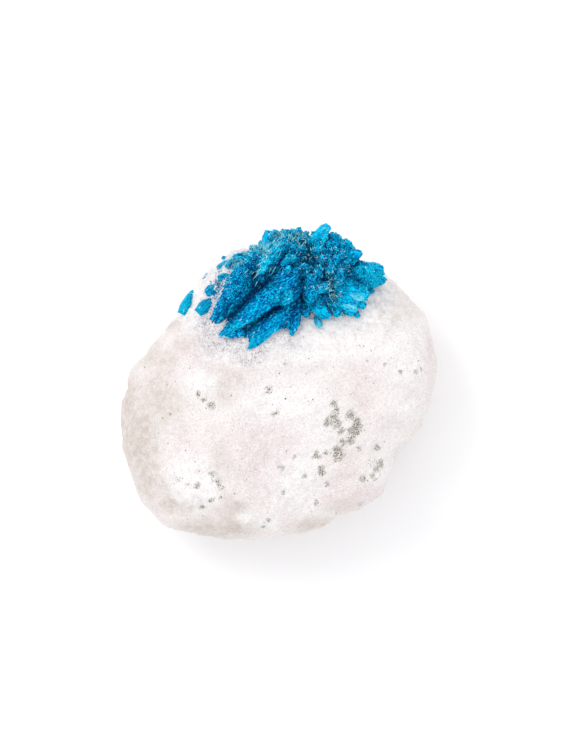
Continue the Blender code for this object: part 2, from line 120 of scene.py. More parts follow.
# How much of what stands past a facet is cut away.
FACET_CUT = 0.8

# Small marks in the nodule's skin, as paths with a height and a reach: a pale fold, a crease, a bead.
SKIN_MARKS = (
    (((-10.9, 2.4, 22.0), (-8.6, 4.1, 22.6), (-6.6, 5.1, 23.0)), 0.30, 0.42),
    (((-5.9, -17.2, 20.6), (-5.0, -18.0, 20.0), (-4.3, -18.6, 19.6)), -0.42, 0.45),
    (((-4.4, -19.3, 18.8), (-3.9, -19.5, 18.6)), 0.35, 0.6),
    (((8.3, 0.4, 22.6), (10.5, -1.2, 22.0), (12.0, -3.8, 21.2)), -0.28, 0.5),
    (((-4.5, -9.0, 23.2), (-3.2, -12.5, 22.6), (-3.6, -16.5, 21.4)), -0.25, 0.9),
    (((14.0, 8.8, 20.3), (17.6, 8.0, 18.9), (19.6, 6.0, 17.8)), -0.25, 0.8),
    (((16.5, 1.5, 20.0), (18.8, -1.5, 18.6)), -0.22, 0.6),
)
PIT_COUNT = 70
PIT_REACH = (0.22, 0.5)
PIT_DEPTH = (0.08, 0.24)
# Where pits may lie, along X and along Y.
PIT_FIELD = ((-20.0, 20.0), (-21.0, 9.0))
# Fine waves and creases of the skin and of the crust's sugar: wavelength, height, seed.
SKIN_WAVES = ((4.6, 0.09, 1), (2.3, 0.055, 2), (1.1, 0.03, 3))
SKIN_CREASES = ((1.7, -0.03, 4),)
CRUST_WAVES = ((0.7, 0.05, 6),)
CRUST_CREASES = ((1.3, 0.06, 5),)
# How far the crust sinks for them, and how many cosine waves make a ripple.
CRUST_SINK = 0.06
RIPPLE_WAVES = 18

# Heights between which the upper side's stains set in and the underside turns warm and darker, and how much:
# partly warm stain, partly painted shade on the steep lower flanks.
UPPER_SKIN = (4.0, 10.0)
UNDER_SKIN = (9.0, 3.0)
UNDER_SHADE = 0.5

# Stains of the skin, and patches of painted shade and light among them: x, y, radius along x, radius along y,
# strength.
# The warm ones are partly real stains and partly painted shade on the left flank and in shallow hollows.
WARM_STAINS_AND_SHADE = (
    (-16.8, -2.6, 3.6, 5.0, 0.8), (-14.8, -3.2, 1.3, 1.6, 0.6), (-20.0, -8.0, 3.6, 6.5, 1.0),
    (-18.6, -13.2, 2.2, 4.0, 0.9), (-14.4, -16.9, 3.6, 2.0, 0.9), (-21.4, -4.0, 2.2, 6.0, 1.0),
    (-8.2, -11.6, 1.6, 2.6, 0.7), (8.8, -17.2, 2.8, 1.6, 0.6),
    (-9.1, -20.8, 6.0, 1.9, 0.9), (-7.4, 0.1, 3.2, 2.6, 0.6), (15.2, 11.0, 4.8, 3.2, 0.8),
    (-18.6, 4.6, 2.6, 3.0, 0.7), (5.2, -20.4, 4.2, 1.4, 0.8), (9.5, -10.3, 1.3, 1.0, 0.5),
    (-6.6, -18.4, 2.6, 2.2, 0.8), (21.0, 4.6, 1.6, 3.0, 0.5), (20.4, -6.0, 1.6, 2.6, 0.3),
    (-19.8, -6.5, 2.4, 5.0, 0.9), (-5.8, -20.4, 3.0, 1.5, 1.0),
    (-16.2, 3.4, 2.2, 1.6, 0.8), (-13.4, 5.4, 1.9, 1.4, 0.9), (-14.9, 8.2, 1.9, 1.3, 0.9),
    (-7.7, -2.0, 1.4, 1.4, 0.7), (-16.6, -14.6, 1.6, 2.4, 0.6),
)
PINK_STAINS = (
    (-2.3, -10.3, 4.2, 6.0, 0.9), (-10.4, 4.6, 4.2, 2.8, 0.9), (22.0, 1.6, 1.5, 5.6, 0.6),
    (7.6, -14.2, 4.2, 3.0, 0.7), (11.8, -1.4, 1.5, 3.8, 0.6), (-13.6, -8.0, 3.0, 2.2, 0.4),
    (12.6, -16.2, 3.4, 2.2, 0.7), (2.2, 5.0, 4.6, 1.6, 0.35),
    (13.4, 1.0, 1.6, 2.6, 0.5),
)
WHITE_STAINS = (
    (-11.8, -14.2, 4.2, 3.8, 1.0), (-11.0, 0.1, 2.9, 2.1, 1.0), (0.6, -2.9, 6.8, 3.2, 0.8),
    (2.5, -13.3, 4.6, 4.6, 0.8), (17.9, 4.6, 4.2, 6.0, 0.7), (-9.6, 12.6, 5.0, 5.6, 1.0),
    (14.2, -11.6, 2.2, 3.0, 0.7), (-4.2, -19.0, 2.0, 1.2, 0.9), (6.5, -7.0, 4.0, 4.5, 0.5),
    (-8.7, 3.6, 2.6, 0.9, 0.9), (18.4, -3.6, 2.2, 2.4, 0.7), (-1.6, -20.2, 1.9, 1.2, 0.9),
    (-15.6, -6.2, 1.6, 2.4, 0.4), (8.6, 4.6, 4.5, 1.6, 0.8),
)
# Pale and lit patches: partly whiter crust, partly painted light that lifts the shadow the spray casts on the
# crust.
PALE_AND_LIT_PATCHES = (
    (7.0, 5.2, 7.5, 2.2, 0.9), (-6.6, 3.6, 3.0, 1.2, 0.6), (-4.4, 2.4, 2.6, 0.9, 0.6),
    (11.6, 9.2, 3.6, 1.4, 0.9),
)
# Grey-green speckled patches: x, y, radius, grains.
SPECK_PATCHES = (
    (-1.6, -1.0, 0.50, 16), (-0.5, -4.3, 0.50, 16), (7.6, -2.9, 0.50, 14), (8.0, -4.0, 0.45, 14),
    (7.5, -4.9, 0.75, 34), (6.8, -5.6, 0.62, 24), (8.1, -5.7, 0.60, 22), (8.7, -6.9, 0.50, 18),
    (10.1, -4.5, 0.65, 30), (11.0, -5.3, 0.55, 24), (10.9, -6.2, 0.85, 52), (10.3, -6.7, 0.70, 34),
    (10.6, -7.4, 0.55, 24), (10.0, -8.1, 0.60, 26), (9.0, -8.5, 0.50, 20), (8.0, -9.4, 0.55, 22),
    (8.25, -10.1, 0.85, 48), (5.2, -10.3, 0.55, 24), (6.5, -9.9, 0.28, 8), (5.9, -12.0, 0.42, 16),
    (6.0, -12.7, 0.52, 22), (11.3, -9.3, 0.28, 8), (13.8, -9.2, 0.42, 14), (14.2, -11.5, 0.60, 32),
    (13.7, -12.3, 0.42, 16), (13.1, -13.2, 0.40, 9), (11.8, -13.5, 0.42, 16), (13.0, -11.2, 0.7, 12),
    (6.6, -14.4, 0.35, 6), (2.1, -10.5, 0.22, 6), (0.3, -12.0, 0.40, 11), (0.6, -15.5, 0.30, 9),
    (5.2, -16.9, 0.38, 11), (17.0, 1.5, 0.26, 7), (19.3, 1.6, 0.30, 9), (14.8, 2.6, 0.2, 4),
    (-11.4, -1.6, 0.34, 14), (-10.6, -2.4, 0.34, 14), (-9.7, -3.2, 0.42, 20), (-9.2, -3.5, 0.3, 10),
    (-15.4, -4.4, 0.2, 5), (-14.2, -13.6, 0.7, 9), (-12.9, -14.4, 0.6, 8), (-11.5, -14.5, 0.42, 13),
    (-9.4, -12.9, 0.5, 11), (-8.7, -13.9, 0.6, 13), (-8.2, -14.6, 0.5, 11), (-9.6, -16.5, 0.36, 13),
    (-10.9, -17.6, 0.32, 9), (-8.2, -16.0, 0.22, 6), (-2.2, -20.2, 0.5, 8), (-1.6, -19.4, 0.3, 5),
    (11.4, -17.2, 0.4, 7), (0.9, 2.7, 0.5, 6), (3.6, -13.2, 0.3, 5),
)
STRAY_SPECKS = 420
# Where stray grains may lie, along X and along Y.
STRAY_FIELD = ((-21.0, 21.0), (-21.5, 10.0))
# A stray grain's share of a patch grain's size: the least, and how much the largest one has beyond it.
STRAY_SHARES = (0.55, 1.1)
# Grains lie within this share of the nodule's plan radius.
SPECK_RIM = 0.97
SPECK_SIZE = (0.10, 0.24)
# A grain's reach to each side, and its height over and depth under the skin, as shares of its size.
SPECK_REACH = (0.35, 0.65)
SPECK_RISE = 0.16
SPECK_SINK = 0.4
# Grains to a square millimetre, times pi, at which a patch's ground is fully coloured.
SPECK_FILL = 55
# The coloured ground: its reach as a share of the patch's, the waves that make it ragged, and the range of
# its strength over which it ends.
CLAY_REACH = 1.25
CLAY_WAVES = ((0.9, 0.35, 7),)
CLAY_EDGE = (0.40, 0.56)

# The solid heart of the spray: middle, radii, turn about Z.
HEARTS = (
    ((4.3, 14.4, 20.2), (6.6, 4.6, 4.6), 12.0),
    ((-1.3, 14.9, 20.4), (4.6, 3.4, 3.2), -20.0),
)
# The hearts' grid, the share of those radii that they are built with, and their tone.
HEART_CELLS = 24
HEART_SHARE = 0.95
HEART_TONE = 0.22

# Each lobe: root, tip, width, thickness, roll about its length, tone from deep blue 0 to bright turquoise 1,
# and how blunt it is, from a chisel 0 to a round end 1.
BLADES = (
    ((-3.8, 16.8, 24.0), (-9.6, 8.6, 22.5), 2.7, 2.0, -18, 0.18, 0.25),
    ((-3.4, 16.2, 24.2), (-7.9, 13.3, 22.4), 1.9, 1.4, -25, 0.26, 0.5),
    ((3.4, 15.9, 26.0), (-8.5, 6.5, 23.7), 3.7, 1.8, 20, 0.42, 0.0),
    ((-2.2, 7.6, 24.2), (-7.8, 6.5, 23.7), 1.7, 1.2, 10, 0.14, 0.5),
    ((3.6, 15.8, 25.6), (-2.0, 13.6, 25.4), 2.6, 1.6, 24, 0.30, 0.4),
    ((3.4, 14.4, 25.0), (-0.5, 10.9, 25.2), 3.2, 1.7, 20, 0.50, 0.8),
    ((3.1, 11.5, 24.0), (-4.6, 6.3, 24.2), 3.0, 1.5, 4, 0.32, 0.8),
    ((2.0, 11.8, 24.0), (-4.4, 4.6, 24.1), 3.0, 1.6, 8, 0.38, 0.1),
    ((-1.0, 9.0, 24.1), (-4.3, 5.5, 24.1), 1.9, 1.4, 0, 0.38, 0.7),
    ((3.4, 11.9, 23.4), (-0.9, 7.4, 23.9), 2.2, 1.4, 0, 0.74, 0.4),
    ((2.7, 11.2, 23.4), (1.7, 6.4, 24.1), 2.1, 1.4, 0, 0.50, 0.4),
    ((-0.2, 16.9, 23.9), (-7.5, 8.8, 23.2), 3.1, 1.4, -10, 0.06, 0.6),
    ((-3.4, 12.8, 22.8), (-9.2, 8.2, 22.2), 1.9, 1.2, 0, 0.16, 0.4),
    ((2.2, 12.6, 23.4), (-4.8, 7.4, 24.1), 2.6, 1.0, 0, 0.08, 0.8),
    ((2.0, 10.8, 23.8), (0.5, 7.4, 24.2), 1.5, 1.0, 0, 0.20, 0.6),
)
CROWN = (
    ((0.6, 19.7, 23.4), (-2.9, 15.1, 24.7), 2.4, 1.5, 24, 0.82, 0.6),
    ((1.5, 16.8, 23.2), (-1.6, 21.2, 20.0), 2.2, 1.3, 0, 0.78, 1.0),
    ((2.4, 16.8, 23.6), (0.7, 21.4, 20.5), 2.4, 1.3, 10, 0.62, 1.0),
    ((3.2, 16.8, 23.5), (3.2, 21.2, 20.4), 2.3, 1.3, 0, 0.56, 1.0),
    ((4.5, 16.6, 24.2), (6.7, 22.0, 21.8), 2.0, 1.5, 0, 0.84, 0.9),
    ((5.4, 16.2, 24.6), (8.6, 20.8, 20.9), 2.2, 1.4, 0, 0.36, 1.0),
    ((6.4, 15.6, 24.5), (10.2, 19.8, 20.4), 2.2, 1.4, 0, 0.40, 1.0),
    ((7.0, 15.1, 24.2), (11.7, 18.4, 20.2), 1.8, 1.4, 0, 0.56, 1.0),
    ((7.6, 14.4, 22.6), (14.8, 16.2, 19.0), 3.3, 2.2, -10, 0.86, 1.0),
    ((7.9, 13.8, 21.8), (15.1, 14.5, 18.0), 2.4, 1.7, -10, 0.82, 1.0),
    ((8.9, 13.4, 20.8), (13.6, 12.8, 19.4), 1.6, 1.1, 0, 0.40, 0.8),
    ((5.8, 13.8, 24.0), (12.7, 12.2, 21.5), 3.6, 2.2, 0, 0.84, 0.8),
    ((6.4, 12.6, 23.6), (11.1, 10.2, 22.2), 2.0, 1.4, 0, 0.84, 0.7),
    ((6.0, 13.0, 23.6), (8.3, 9.7, 22.9), 1.7, 1.3, 0, 0.44, 0.5),
    ((4.6, 15.4, 25.9), (4.3, 11.0, 25.2), 2.9, 1.7, 0, 0.44, 0.7),
    ((4.8, 13.0, 24.3), (6.3, 8.9, 23.5), 2.8, 1.6, 0, 0.90, 0.6),
    ((0.4, 16.6, 23.4), (-6.0, 18.0, 19.4), 2.0, 1.4, 0, 0.52, 0.9),
    ((-0.6, 15.8, 23.4), (-6.4, 16.4, 20.4), 2.0, 1.3, 0, 0.46, 0.9),
    ((0.6, 17.2, 22.6), (-4.3, 19.2, 17.6), 2.0, 1.3, 0, 0.56, 0.9),
    ((1.0, 17.2, 22.8), (-2.9, 19.9, 18.8), 2.0, 1.3, 0, 0.52, 0.9),
    ((5.8, 14.0, 21.5), (7.5, 16.3, 26.7), 1.9, 1.6, 30, 0.56, 1.0),
    ((6.6, 13.4, 21.5), (8.7, 15.0, 26.2), 2.3, 2.0, 0, 0.56, 1.0),
    ((3.0, 15.6, 22.0), (1.4, 17.7, 26.3), 1.9, 1.5, 20, 0.46, 1.0),
    ((2.6, 14.8, 22.0), (0.8, 15.9, 26.8), 2.1, 1.7, 0, 0.24, 1.0),
    ((3.6, 15.8, 21.0), (3.1, 19.1, 25.2), 2.0, 1.6, 0, 0.52, 1.0),
    ((4.4, 15.6, 21.0), (5.0, 18.8, 25.6), 2.0, 1.6, 40, 0.48, 1.0),
    ((4.9, 14.9, 21.5), (6.2, 17.7, 26.2), 2.0, 1.7, 0, 0.36, 1.0),
    ((3.9, 14.4, 22.0), (3.4, 16.3, 27.6), 2.2, 1.8, 0, 0.48, 1.0),
    ((5.0, 13.8, 22.0), (5.6, 16.1, 27.3), 2.1, 1.8, 50, 0.50, 1.0),
    ((5.6, 12.8, 21.5), (6.8, 13.6, 26.8), 2.2, 1.9, 0, 0.40, 1.0),
)
# Rounded lumps that the photograph shows between and on the lobes.
LUMPS = (
    ((4.2, 19.3, 21.9), (7.0, 22.1, 22.3), 2.0, 1.7, 0, 0.92, 1.0),
    ((6.7, 19.2, 21.0), (7.7, 21.2, 22.2), 1.5, 1.3, 0, 0.66, 1.0),
    ((7.8, 18.6, 21.0), (8.9, 20.3, 22.2), 1.2, 1.1, 30, 0.66, 1.0),
    ((8.6, 18.2, 20.8), (9.8, 19.8, 21.9), 1.2, 1.2, 0, 0.70, 1.0),
    ((9.0, 17.6, 20.6), (10.6, 19.0, 21.7), 1.1, 1.1, 0, 0.66, 1.0),
    ((6.6, 18.0, 21.8), (7.1, 19.6, 23.3), 1.3, 1.2, 0, 0.40, 1.0),
    ((7.4, 17.4, 21.8), (8.2, 19.0, 23.3), 1.2, 1.2, 20, 0.42, 1.0),
    ((8.2, 16.8, 21.6), (9.2, 18.4, 23.0), 1.3, 1.2, 0, 0.40, 1.0),
    ((5.8, 17.2, 22.4), (6.3, 18.7, 24.0), 1.3, 1.2, 0, 0.30, 1.0),
    ((5.3, 18.6, 21.8), (5.6, 20.0, 23.2), 1.2, 1.1, 0, 0.42, 1.0),
    ((9.0, 17.7, 21.4), (11.7, 18.3, 21.5), 1.4, 1.3, 12, 0.66, 1.0),
    ((9.6, 15.6, 20.6), (12.6, 16.7, 20.6), 2.2, 1.5, 0, 0.46, 1.0),
    ((10.0, 14.9, 20.8), (14.7, 15.1, 20.6), 3.7, 2.8, 0, 1.0, 1.0),
    ((-2.6, 17.6, 19.0), (-1.4, 20.9, 20.6), 1.7, 1.4, 0, 0.86, 1.0),
    ((-1.4, 18.2, 19.0), (-0.5, 21.7, 20.8), 1.9, 1.4, 0, 0.76, 1.0),
    ((0.2, 18.2, 19.0), (0.7, 21.7, 21.0), 2.0, 1.4, 0, 0.68, 1.0),
    ((1.8, 18.2, 19.0), (1.9, 21.7, 21.0), 2.0, 1.4, 0, 0.66, 1.0),
    ((2.4, 18.2, 19.0), (2.9, 21.8, 20.8), 1.6, 1.4, 0, 0.62, 1.0),
    ((3.2, 18.2, 19.0), (3.9, 21.4, 21.0), 1.7, 1.4, 0, 0.58, 1.0),
    ((6.6, 18.2, 19.0), (8.0, 21.2, 20.8), 1.8, 1.4, 0, 0.60, 1.0),
    ((8.0, 17.6, 19.0), (9.6, 20.2, 20.6), 1.8, 1.4, 0, 0.62, 1.0),
    ((-4.6, 16.6, 18.6), (-4.5, 18.6, 19.6), 1.7, 1.3, 0, 0.56, 1.0),
    ((-5.4, 15.6, 18.6), (-6.4, 18.2, 19.0), 1.7, 1.3, 0, 0.54, 1.0),
    ((13.4, 14.4, 18.4), (15.1, 14.2, 18.4), 0.8, 0.7, 0, 0.80, 0.6),
    ((11.0, 14.2, 19.4), (13.4, 13.1, 19.8), 1.8, 1.5, 0, 0.66, 1.0),
    ((9.4, 14.2, 20.0), (12.4, 13.2, 20.2), 1.8, 1.6, 0, 0.46, 1.0),
    ((8.6, 13.7, 22.4), (12.5, 12.0, 22.6), 2.5, 1.9, 8, 0.94, 1.0),
    ((10.1, 12.1, 21.2), (12.0, 10.6, 21.9), 1.5, 1.3, 0, 0.84, 1.0),
    ((8.0, 11.5, 22.6), (11.0, 10.1, 23.0), 1.4, 1.1, 0, 0.92, 0.9),
    ((4.2, 11.4, 23.8), (7.0, 9.2, 24.2), 1.9, 1.3, 10, 0.95, 0.9),
    ((4.6, 12.4, 25.2), (6.8, 13.9, 26.4), 1.3, 1.2, 0, 0.72, 0.8),
    ((4.4, 12.8, 24.6), (4.0, 11.4, 26.2), 1.5, 1.3, 0, 0.42, 1.0),
    ((5.4, 11.8, 24.0), (5.6, 10.8, 25.4), 1.6, 1.3, 0, 0.46, 1.0),
    ((6.6, 12.6, 24.0), (6.9, 11.6, 25.2), 1.3, 1.2, 0, 0.36, 1.0),
    ((7.8, 14.6, 23.0), (8.7, 15.9, 24.8), 1.5, 1.4, 0, 0.84, 1.0),
    ((7.6, 13.8, 23.4), (8.4, 14.5, 26.2), 1.7, 1.5, 0, 0.66, 1.0),
    ((6.6, 15.2, 24.4), (7.2, 15.7, 26.6), 1.3, 1.2, 0, 0.62, 1.0),
    ((6.8, 16.0, 22.8), (7.1, 16.8, 25.4), 1.6, 1.4, 0, 0.48, 1.0),
    ((2.4, 14.2, 24.8), (2.8, 14.9, 26.9), 1.4, 1.3, 0, 0.20, 1.0),
    ((1.0, 15.2, 24.6), (1.3, 16.1, 26.9), 1.5, 1.3, 0, 0.60, 1.0),
    ((0.4, 16.4, 25.0), (2.4, 17.8, 26.1), 1.6, 1.4, 0, 0.86, 1.0),
    ((0.9, 19.2, 22.8), (-2.0, 15.6, 24.6), 2.0, 1.6, 0, 0.72, 0.9),
    ((-0.6, 17.0, 21.6), (0.2, 19.3, 23.0), 1.7, 1.4, 0, 0.80, 1.0),
    ((0.2, 18.8, 20.6), (0.3, 20.5, 22.1), 1.3, 1.2, 0, 0.56, 1.0),
    ((1.5, 18.8, 20.6), (1.6, 20.5, 22.4), 1.3, 1.2, 0, 0.56, 1.0),
    ((2.8, 18.6, 20.6), (3.0, 20.4, 22.3), 1.3, 1.2, 0, 0.56, 1.0),
    ((3.8, 18.6, 20.4), (4.0, 20.2, 21.9), 1.1, 1.1, 0, 0.46, 1.0),
    ((0.8, 18.0, 21.4), (0.9, 19.5, 23.1), 1.3, 1.1, 0, 0.54, 1.0),
    ((2.3, 18.0, 21.4), (2.4, 19.5, 23.0), 1.2, 1.1, 0, 0.54, 1.0),
    ((3.5, 17.6, 22.0), (3.6, 19.2, 23.5), 1.2, 1.1, 0, 0.52, 1.0),
    ((-1.8, 18.6, 20.0), (-1.3, 20.9, 21.4), 1.5, 1.3, 0, 0.90, 1.0),
    ((-2.2, 18.6, 21.4), (0.2, 19.9, 22.3), 1.3, 1.1, 0, 1.0, 0.9),
    ((-2.8, 17.4, 20.8), (-3.2, 18.6, 21.9), 1.3, 1.1, 0, 0.84, 1.0),
    ((-3.6, 16.6, 20.8), (-4.0, 17.8, 22.1), 1.5, 1.2, 0, 0.80, 1.0),
    ((-4.4, 17.6, 19.6), (-6.2, 18.0, 20.8), 1.2, 0.8, 0, 0.80, 0.6),
    ((-2.4, 15.8, 22.0), (-2.5, 17.0, 23.4), 1.5, 1.3, 0, 0.52, 1.0),
    ((-3.9, 16.6, 21.6), (-4.2, 17.7, 23.4), 1.7, 1.5, 0, 0.76, 1.0),
    ((-2.0, 14.0, 24.0), (-2.3, 14.4, 25.6), 1.1, 1.0, 0, 0.80, 1.0),
    ((-0.4, 18.6, 19.4), (-0.2, 21.4, 20.8), 1.5, 1.2, 0, 0.54, 1.0),
    ((-5.0, 15.8, 20.6), (-5.7, 16.9, 21.5), 1.2, 1.0, 0, 0.46, 1.0),
    ((-4.2, 16.2, 22.8), (-6.3, 13.0, 24.9), 3.7, 2.2, 0, 0.30, 1.0),
    ((-5.2, 13.9, 22.6), (-8.3, 10.9, 24.0), 2.3, 1.6, 0, 0.32, 0.8),
    ((-5.4, 14.2, 22.8), (-7.7, 14.5, 23.0), 1.9, 1.4, 0, 0.36, 1.0),
    ((3.4, 12.0, 23.6), (3.8, 9.1, 23.6), 2.0, 1.3, 0, 0.34, 1.0),
    ((7.0, 11.4, 22.8), (8.6, 9.4, 23.2), 1.8, 1.2, 0, 0.62, 1.0),
    ((9.2, 11.4, 22.4), (10.4, 9.4, 22.8), 1.8, 1.2, 0, 0.60, 1.0),
    ((-1.0, 12.4, 24.6), (-0.2, 11.6, 27.0), 1.9, 1.6, 0, 0.62, 1.0),
    ((1.4, 13.4, 24.6), (1.2, 12.4, 27.0), 2.0, 1.7, 0, 0.56, 1.0),
)
# Crystals of the spray whose broad flat faces show: root, tip, width, thickness, roll, tone, and how pale the
# painted sheen of reflected light makes their faces.
BLOCKS = (
    ((4.2, 19.4, 22.1), (7.0, 22.1, 22.7), 1.7, 1.4, 12, 0.84, 0.0),
    ((9.4, 17.9, 21.9), (11.6, 18.2, 21.9), 1.5, 1.3, 20, 0.72, 0.0),
    ((8.8, 13.4, 23.0), (12.3, 11.9, 23.2), 2.0, 1.5, 25, 0.86, 0.0),
    ((9.9, 12.4, 23.35), (11.9, 11.8, 23.65), 1.1, 0.8, -15, 1.0, 0.70),
    ((8.4, 12.4, 23.1), (11.0, 10.9, 23.3), 1.7, 1.2, -25, 0.84, 0.0),
    ((10.3, 11.9, 21.9), (12.1, 10.6, 22.3), 1.5, 1.2, 10, 0.84, 0.0),
    ((7.8, 11.3, 23.0), (10.9, 10.1, 23.4), 1.3, 0.9, 10, 0.88, 0.0),
    ((9.0, 10.9, 23.4), (10.7, 10.4, 23.7), 0.8, 0.6, 0, 1.0, 0.70),
    ((4.4, 11.3, 24.2), (7.1, 9.1, 24.5), 1.6, 1.1, 12, 0.78, 0.0),
    ((7.9, 14.8, 24.2), (8.9, 15.9, 25.2), 1.2, 1.0, 0, 0.78, 0.0),
    ((-1.8, 19.0, 20.8), (-1.4, 21.4, 21.7), 1.8, 1.1, 0, 0.76, 0.0),
    ((-4.3, 17.2, 20.2), (-6.2, 17.6, 21.0), 1.0, 0.6, 0, 0.82, 0.10),
    ((-1.9, 18.3, 22.3), (0.8, 19.6, 22.9), 0.34, 0.3, 0, 0.95, 0.80),
    ((-1.2, 17.6, 23.3), (-2.6, 15.8, 25.0), 0.5, 0.4, 0, 0.90, 0.35),
)
# The rear fan. Each row: lift in degrees, reach, lobes. Every other row is shifted by a share of a lobe.
FAN_CENTRE = (4.0, 14.4, 18.2)
FAN_BEARINGS = (30.0, 150.0)
FAN_ROWS = ((-28.0, 6.0, 5), (-6.0, 6.4, 5), (16.0, 6.4, 4))
FAN_SHIFT = 0.25
FAN_ROOT = 2.0
FAN_WIDTH = 3.5
FAN_THICKNESS = 2.3
FAN_TONE = 0.5
FAN_BLUNTNESS = 0.8
# How its lobes stray in lift, reach and tone, and how they roll: amount, and radians from lobe to lobe.
FAN_SWAYS = ((5.0, 3.1), (0.5, 2.3), (0.12, 4.7))
FAN_ROLL = (35.0, 1.7)

# How a chisel-ended blade swells and narrows along its length.
BLADE_SHARES = (0.0, 0.5, 0.84, 1.0)
BLADE_SCALES = (0.62, 1.0, 0.58, 0.10)
# A blunt lobe: its girth at the foot, and where along it the full girth is reached and the end rounds off.
KNOB_FOOT = 0.75
KNOB_FULL = 0.5
BLUNT_FROM = 0.55
# No girth counts as less than this where places are measured against a lobe.
LEAST_GIRTH = 0.01
# Lobes are drawn in by this much, so that the crystals on them end where the solid does, but keep at least
# these halves of width and thickness.
LOBE_INSET = 0.16
LEAST_HALVES = (0.2, 0.15)
# The blades' meshes: rings along them, which crowd towards the tip by a power, and points round each.
BLADE_GRID = (102, 64)
RING_CROWDING = 1.35
# Within this share of its grid's radius a pod closes at its ends.
POD_END = 1 / 3

# The lobes' skin of crystals: size of the crystals, share of it that they stand up, how far their faces are
# stepped, the width of the cracks between them, and the share of a lobe over which the skin sets in.
SKIN_CRYSTALS = ((1.15, 0.34), (0.37, 0.42))
FACE_STEP = 0.8
CRACK_WIDTH = 0.09
SKIN_START = 0.125
# Chance values that cells look up, and the numbers that mix a cell's place and its seed into a place there.
CELL_TABLE = np.random.default_rng(5).uniform(0, 1, (4096, 3))
CELL_SHIFT = 900
CELL_STRIDES = (7919, 15401, 28657)
CELL_SEED_STRIDE = 613

# Calm: how smooth the blades are, from knobs' 0 to 1. A wholly calm lobe's crystals lose these shares of
# their shades, cracks, height at the root and sugar.
BLADE_CALM = 0.8
CALM_SHADE = 0.5
CALM_CRACKS = 0.7
CALM_ROOT = 0.5
SUGAR_LOSS = 0.2
# Streaks along a calm blade: how drawn out they are, and their width, strength and seed.
STREAK_DRAW = 0.92
STREAKS = ((0.34, 0.5, 33),)
# How far the colour's patterns are drawn out along a blade, and how far crystals' tones scatter.
PATTERN_DRAW = 0.75
TONE_SPREAD = 0.10
# A lobe's tone at its foot and what it gains to its end, as shares: a knob's, then a wholly calm blade's. On
# a knob this is painted shade, dark at the foot and bright at the top; on a calm blade it is mostly the
# lighter colour of its thin end.
FOOT_TONE = (0.54, 0.78)
GAINED_TONE = (0.76, 0.30)
# How much of the tone goes with the crystals' own shades, and with their height as painted shade, sunk faces
# darker; and how dark the painted shade in their cracks is.
CELL_TONE = 0.22
HEART_CELL_TONE = 0.26
HEIGHT_TONE = 0.5
CRACK_DARK = 0.45

# Painted shade: closed-in places between lobes are darker, open ones lighter. Where along a lobe its balls
# stand, the range of the shelter that counts, how dark it gets, how much of the tone goes with it, and at
# which shelter the tone stays.
SHELTER_BALLS = (0.35, 0.65, 0.92)
SHELTER_RANGE = (0.35, 1.4)
SHELTER_DARK = 0.45
SHELTER_TONE = 0.30
SHELTER_MEAN = 0.4
# How far calm blades turn to teal at their tips, where they are thin, and over which share of the length.
TIP_TEAL = 0.6
TIP_SHARES = (0.7, 0.95)
# Heights between which clefts, ridges, fibres and pale faces set in.
SPRAY_FOOT = (16.0, 20.0)
# What the painted highlights on ridges add to the tone and the painted shadow in clefts takes from it, how
# bright it may get, how dark the painted shadow in clefts is, how much of that a ridge takes away, and how
# teal the fibres make the blue.
RIDGE_TONE = 0.45
CLEFT_TONE = 0.5
FULL_TONE = 1.2
CLEFT_DARK = 0.85
CLEFT_CROSSED = 0.6
FIBRE_TEAL = 0.45

# Painted shadow in the clefts between the lobes, and painted highlights along ridges and rims on them, partly
# their thin edges' own lighter blue; in plan: path, reach, strength.
CLEFTS = (
    (((-7.1, 8.9), (-5.1, 10.9), (-3.5, 12.9), (-2.2, 13.8), (-1.0, 14.5)), 0.72, 1.0),
    (((-4.3, 16.4), (-3.5, 15.1), (-3.6, 13.4)), 0.50, 0.9),
    (((-4.6, 7.5), (-3.7, 8.0), (-2.6, 8.9), (-1.3, 10.0), (-0.1, 10.7)), 0.65, 1.0),
    (((3.2, 15.6), (3.2, 10.4)), 0.50, 0.9),
    (((3.5, 20.0), (4.2, 18.0), (5.0, 16.4)), 0.55, 0.5),
    (((9.8, 16.4), (10.9, 14.2)), 0.75, 0.55),
    (((-2.4, 14.8), (0.8, 17.6), (2.2, 18.6)), 0.30, 0.4),
    (((7.4, 14.0), (7.4, 10.4)), 0.42, 0.4),
    (((4.6, 10.8), (6.4, 11.0)), 0.35, 0.5),
    (((0.6, 7.9), (1.4, 8.9)), 0.40, 0.5),
    (((2.5, 12.6), (1.9, 9.9)), 0.80, 0.55),
)
RIDGES = (
    (((-6.7, 7.2), (-5.3, 7.9), (-3.5, 8.9), (-2.1, 9.9), (-0.6, 11.1)), 0.26, 1.0),
    (((-3.9, 5.3), (-1.8, 6.5), (-0.6, 7.5)), 0.30, 0.8),
    (((-3.0, 15.3), (-2.1, 16.9), (-1.0, 18.6), (0.5, 19.4)), 0.35, 1.0),
    (((0.3, 11.7), (1.4, 12.2)), 0.60, 0.8),
    (((11.9, 15.9), (13.8, 15.0)), 1.00, 0.50),
    (((-0.6, 8.2), (0.5, 9.6)), 0.70, 0.50),
)
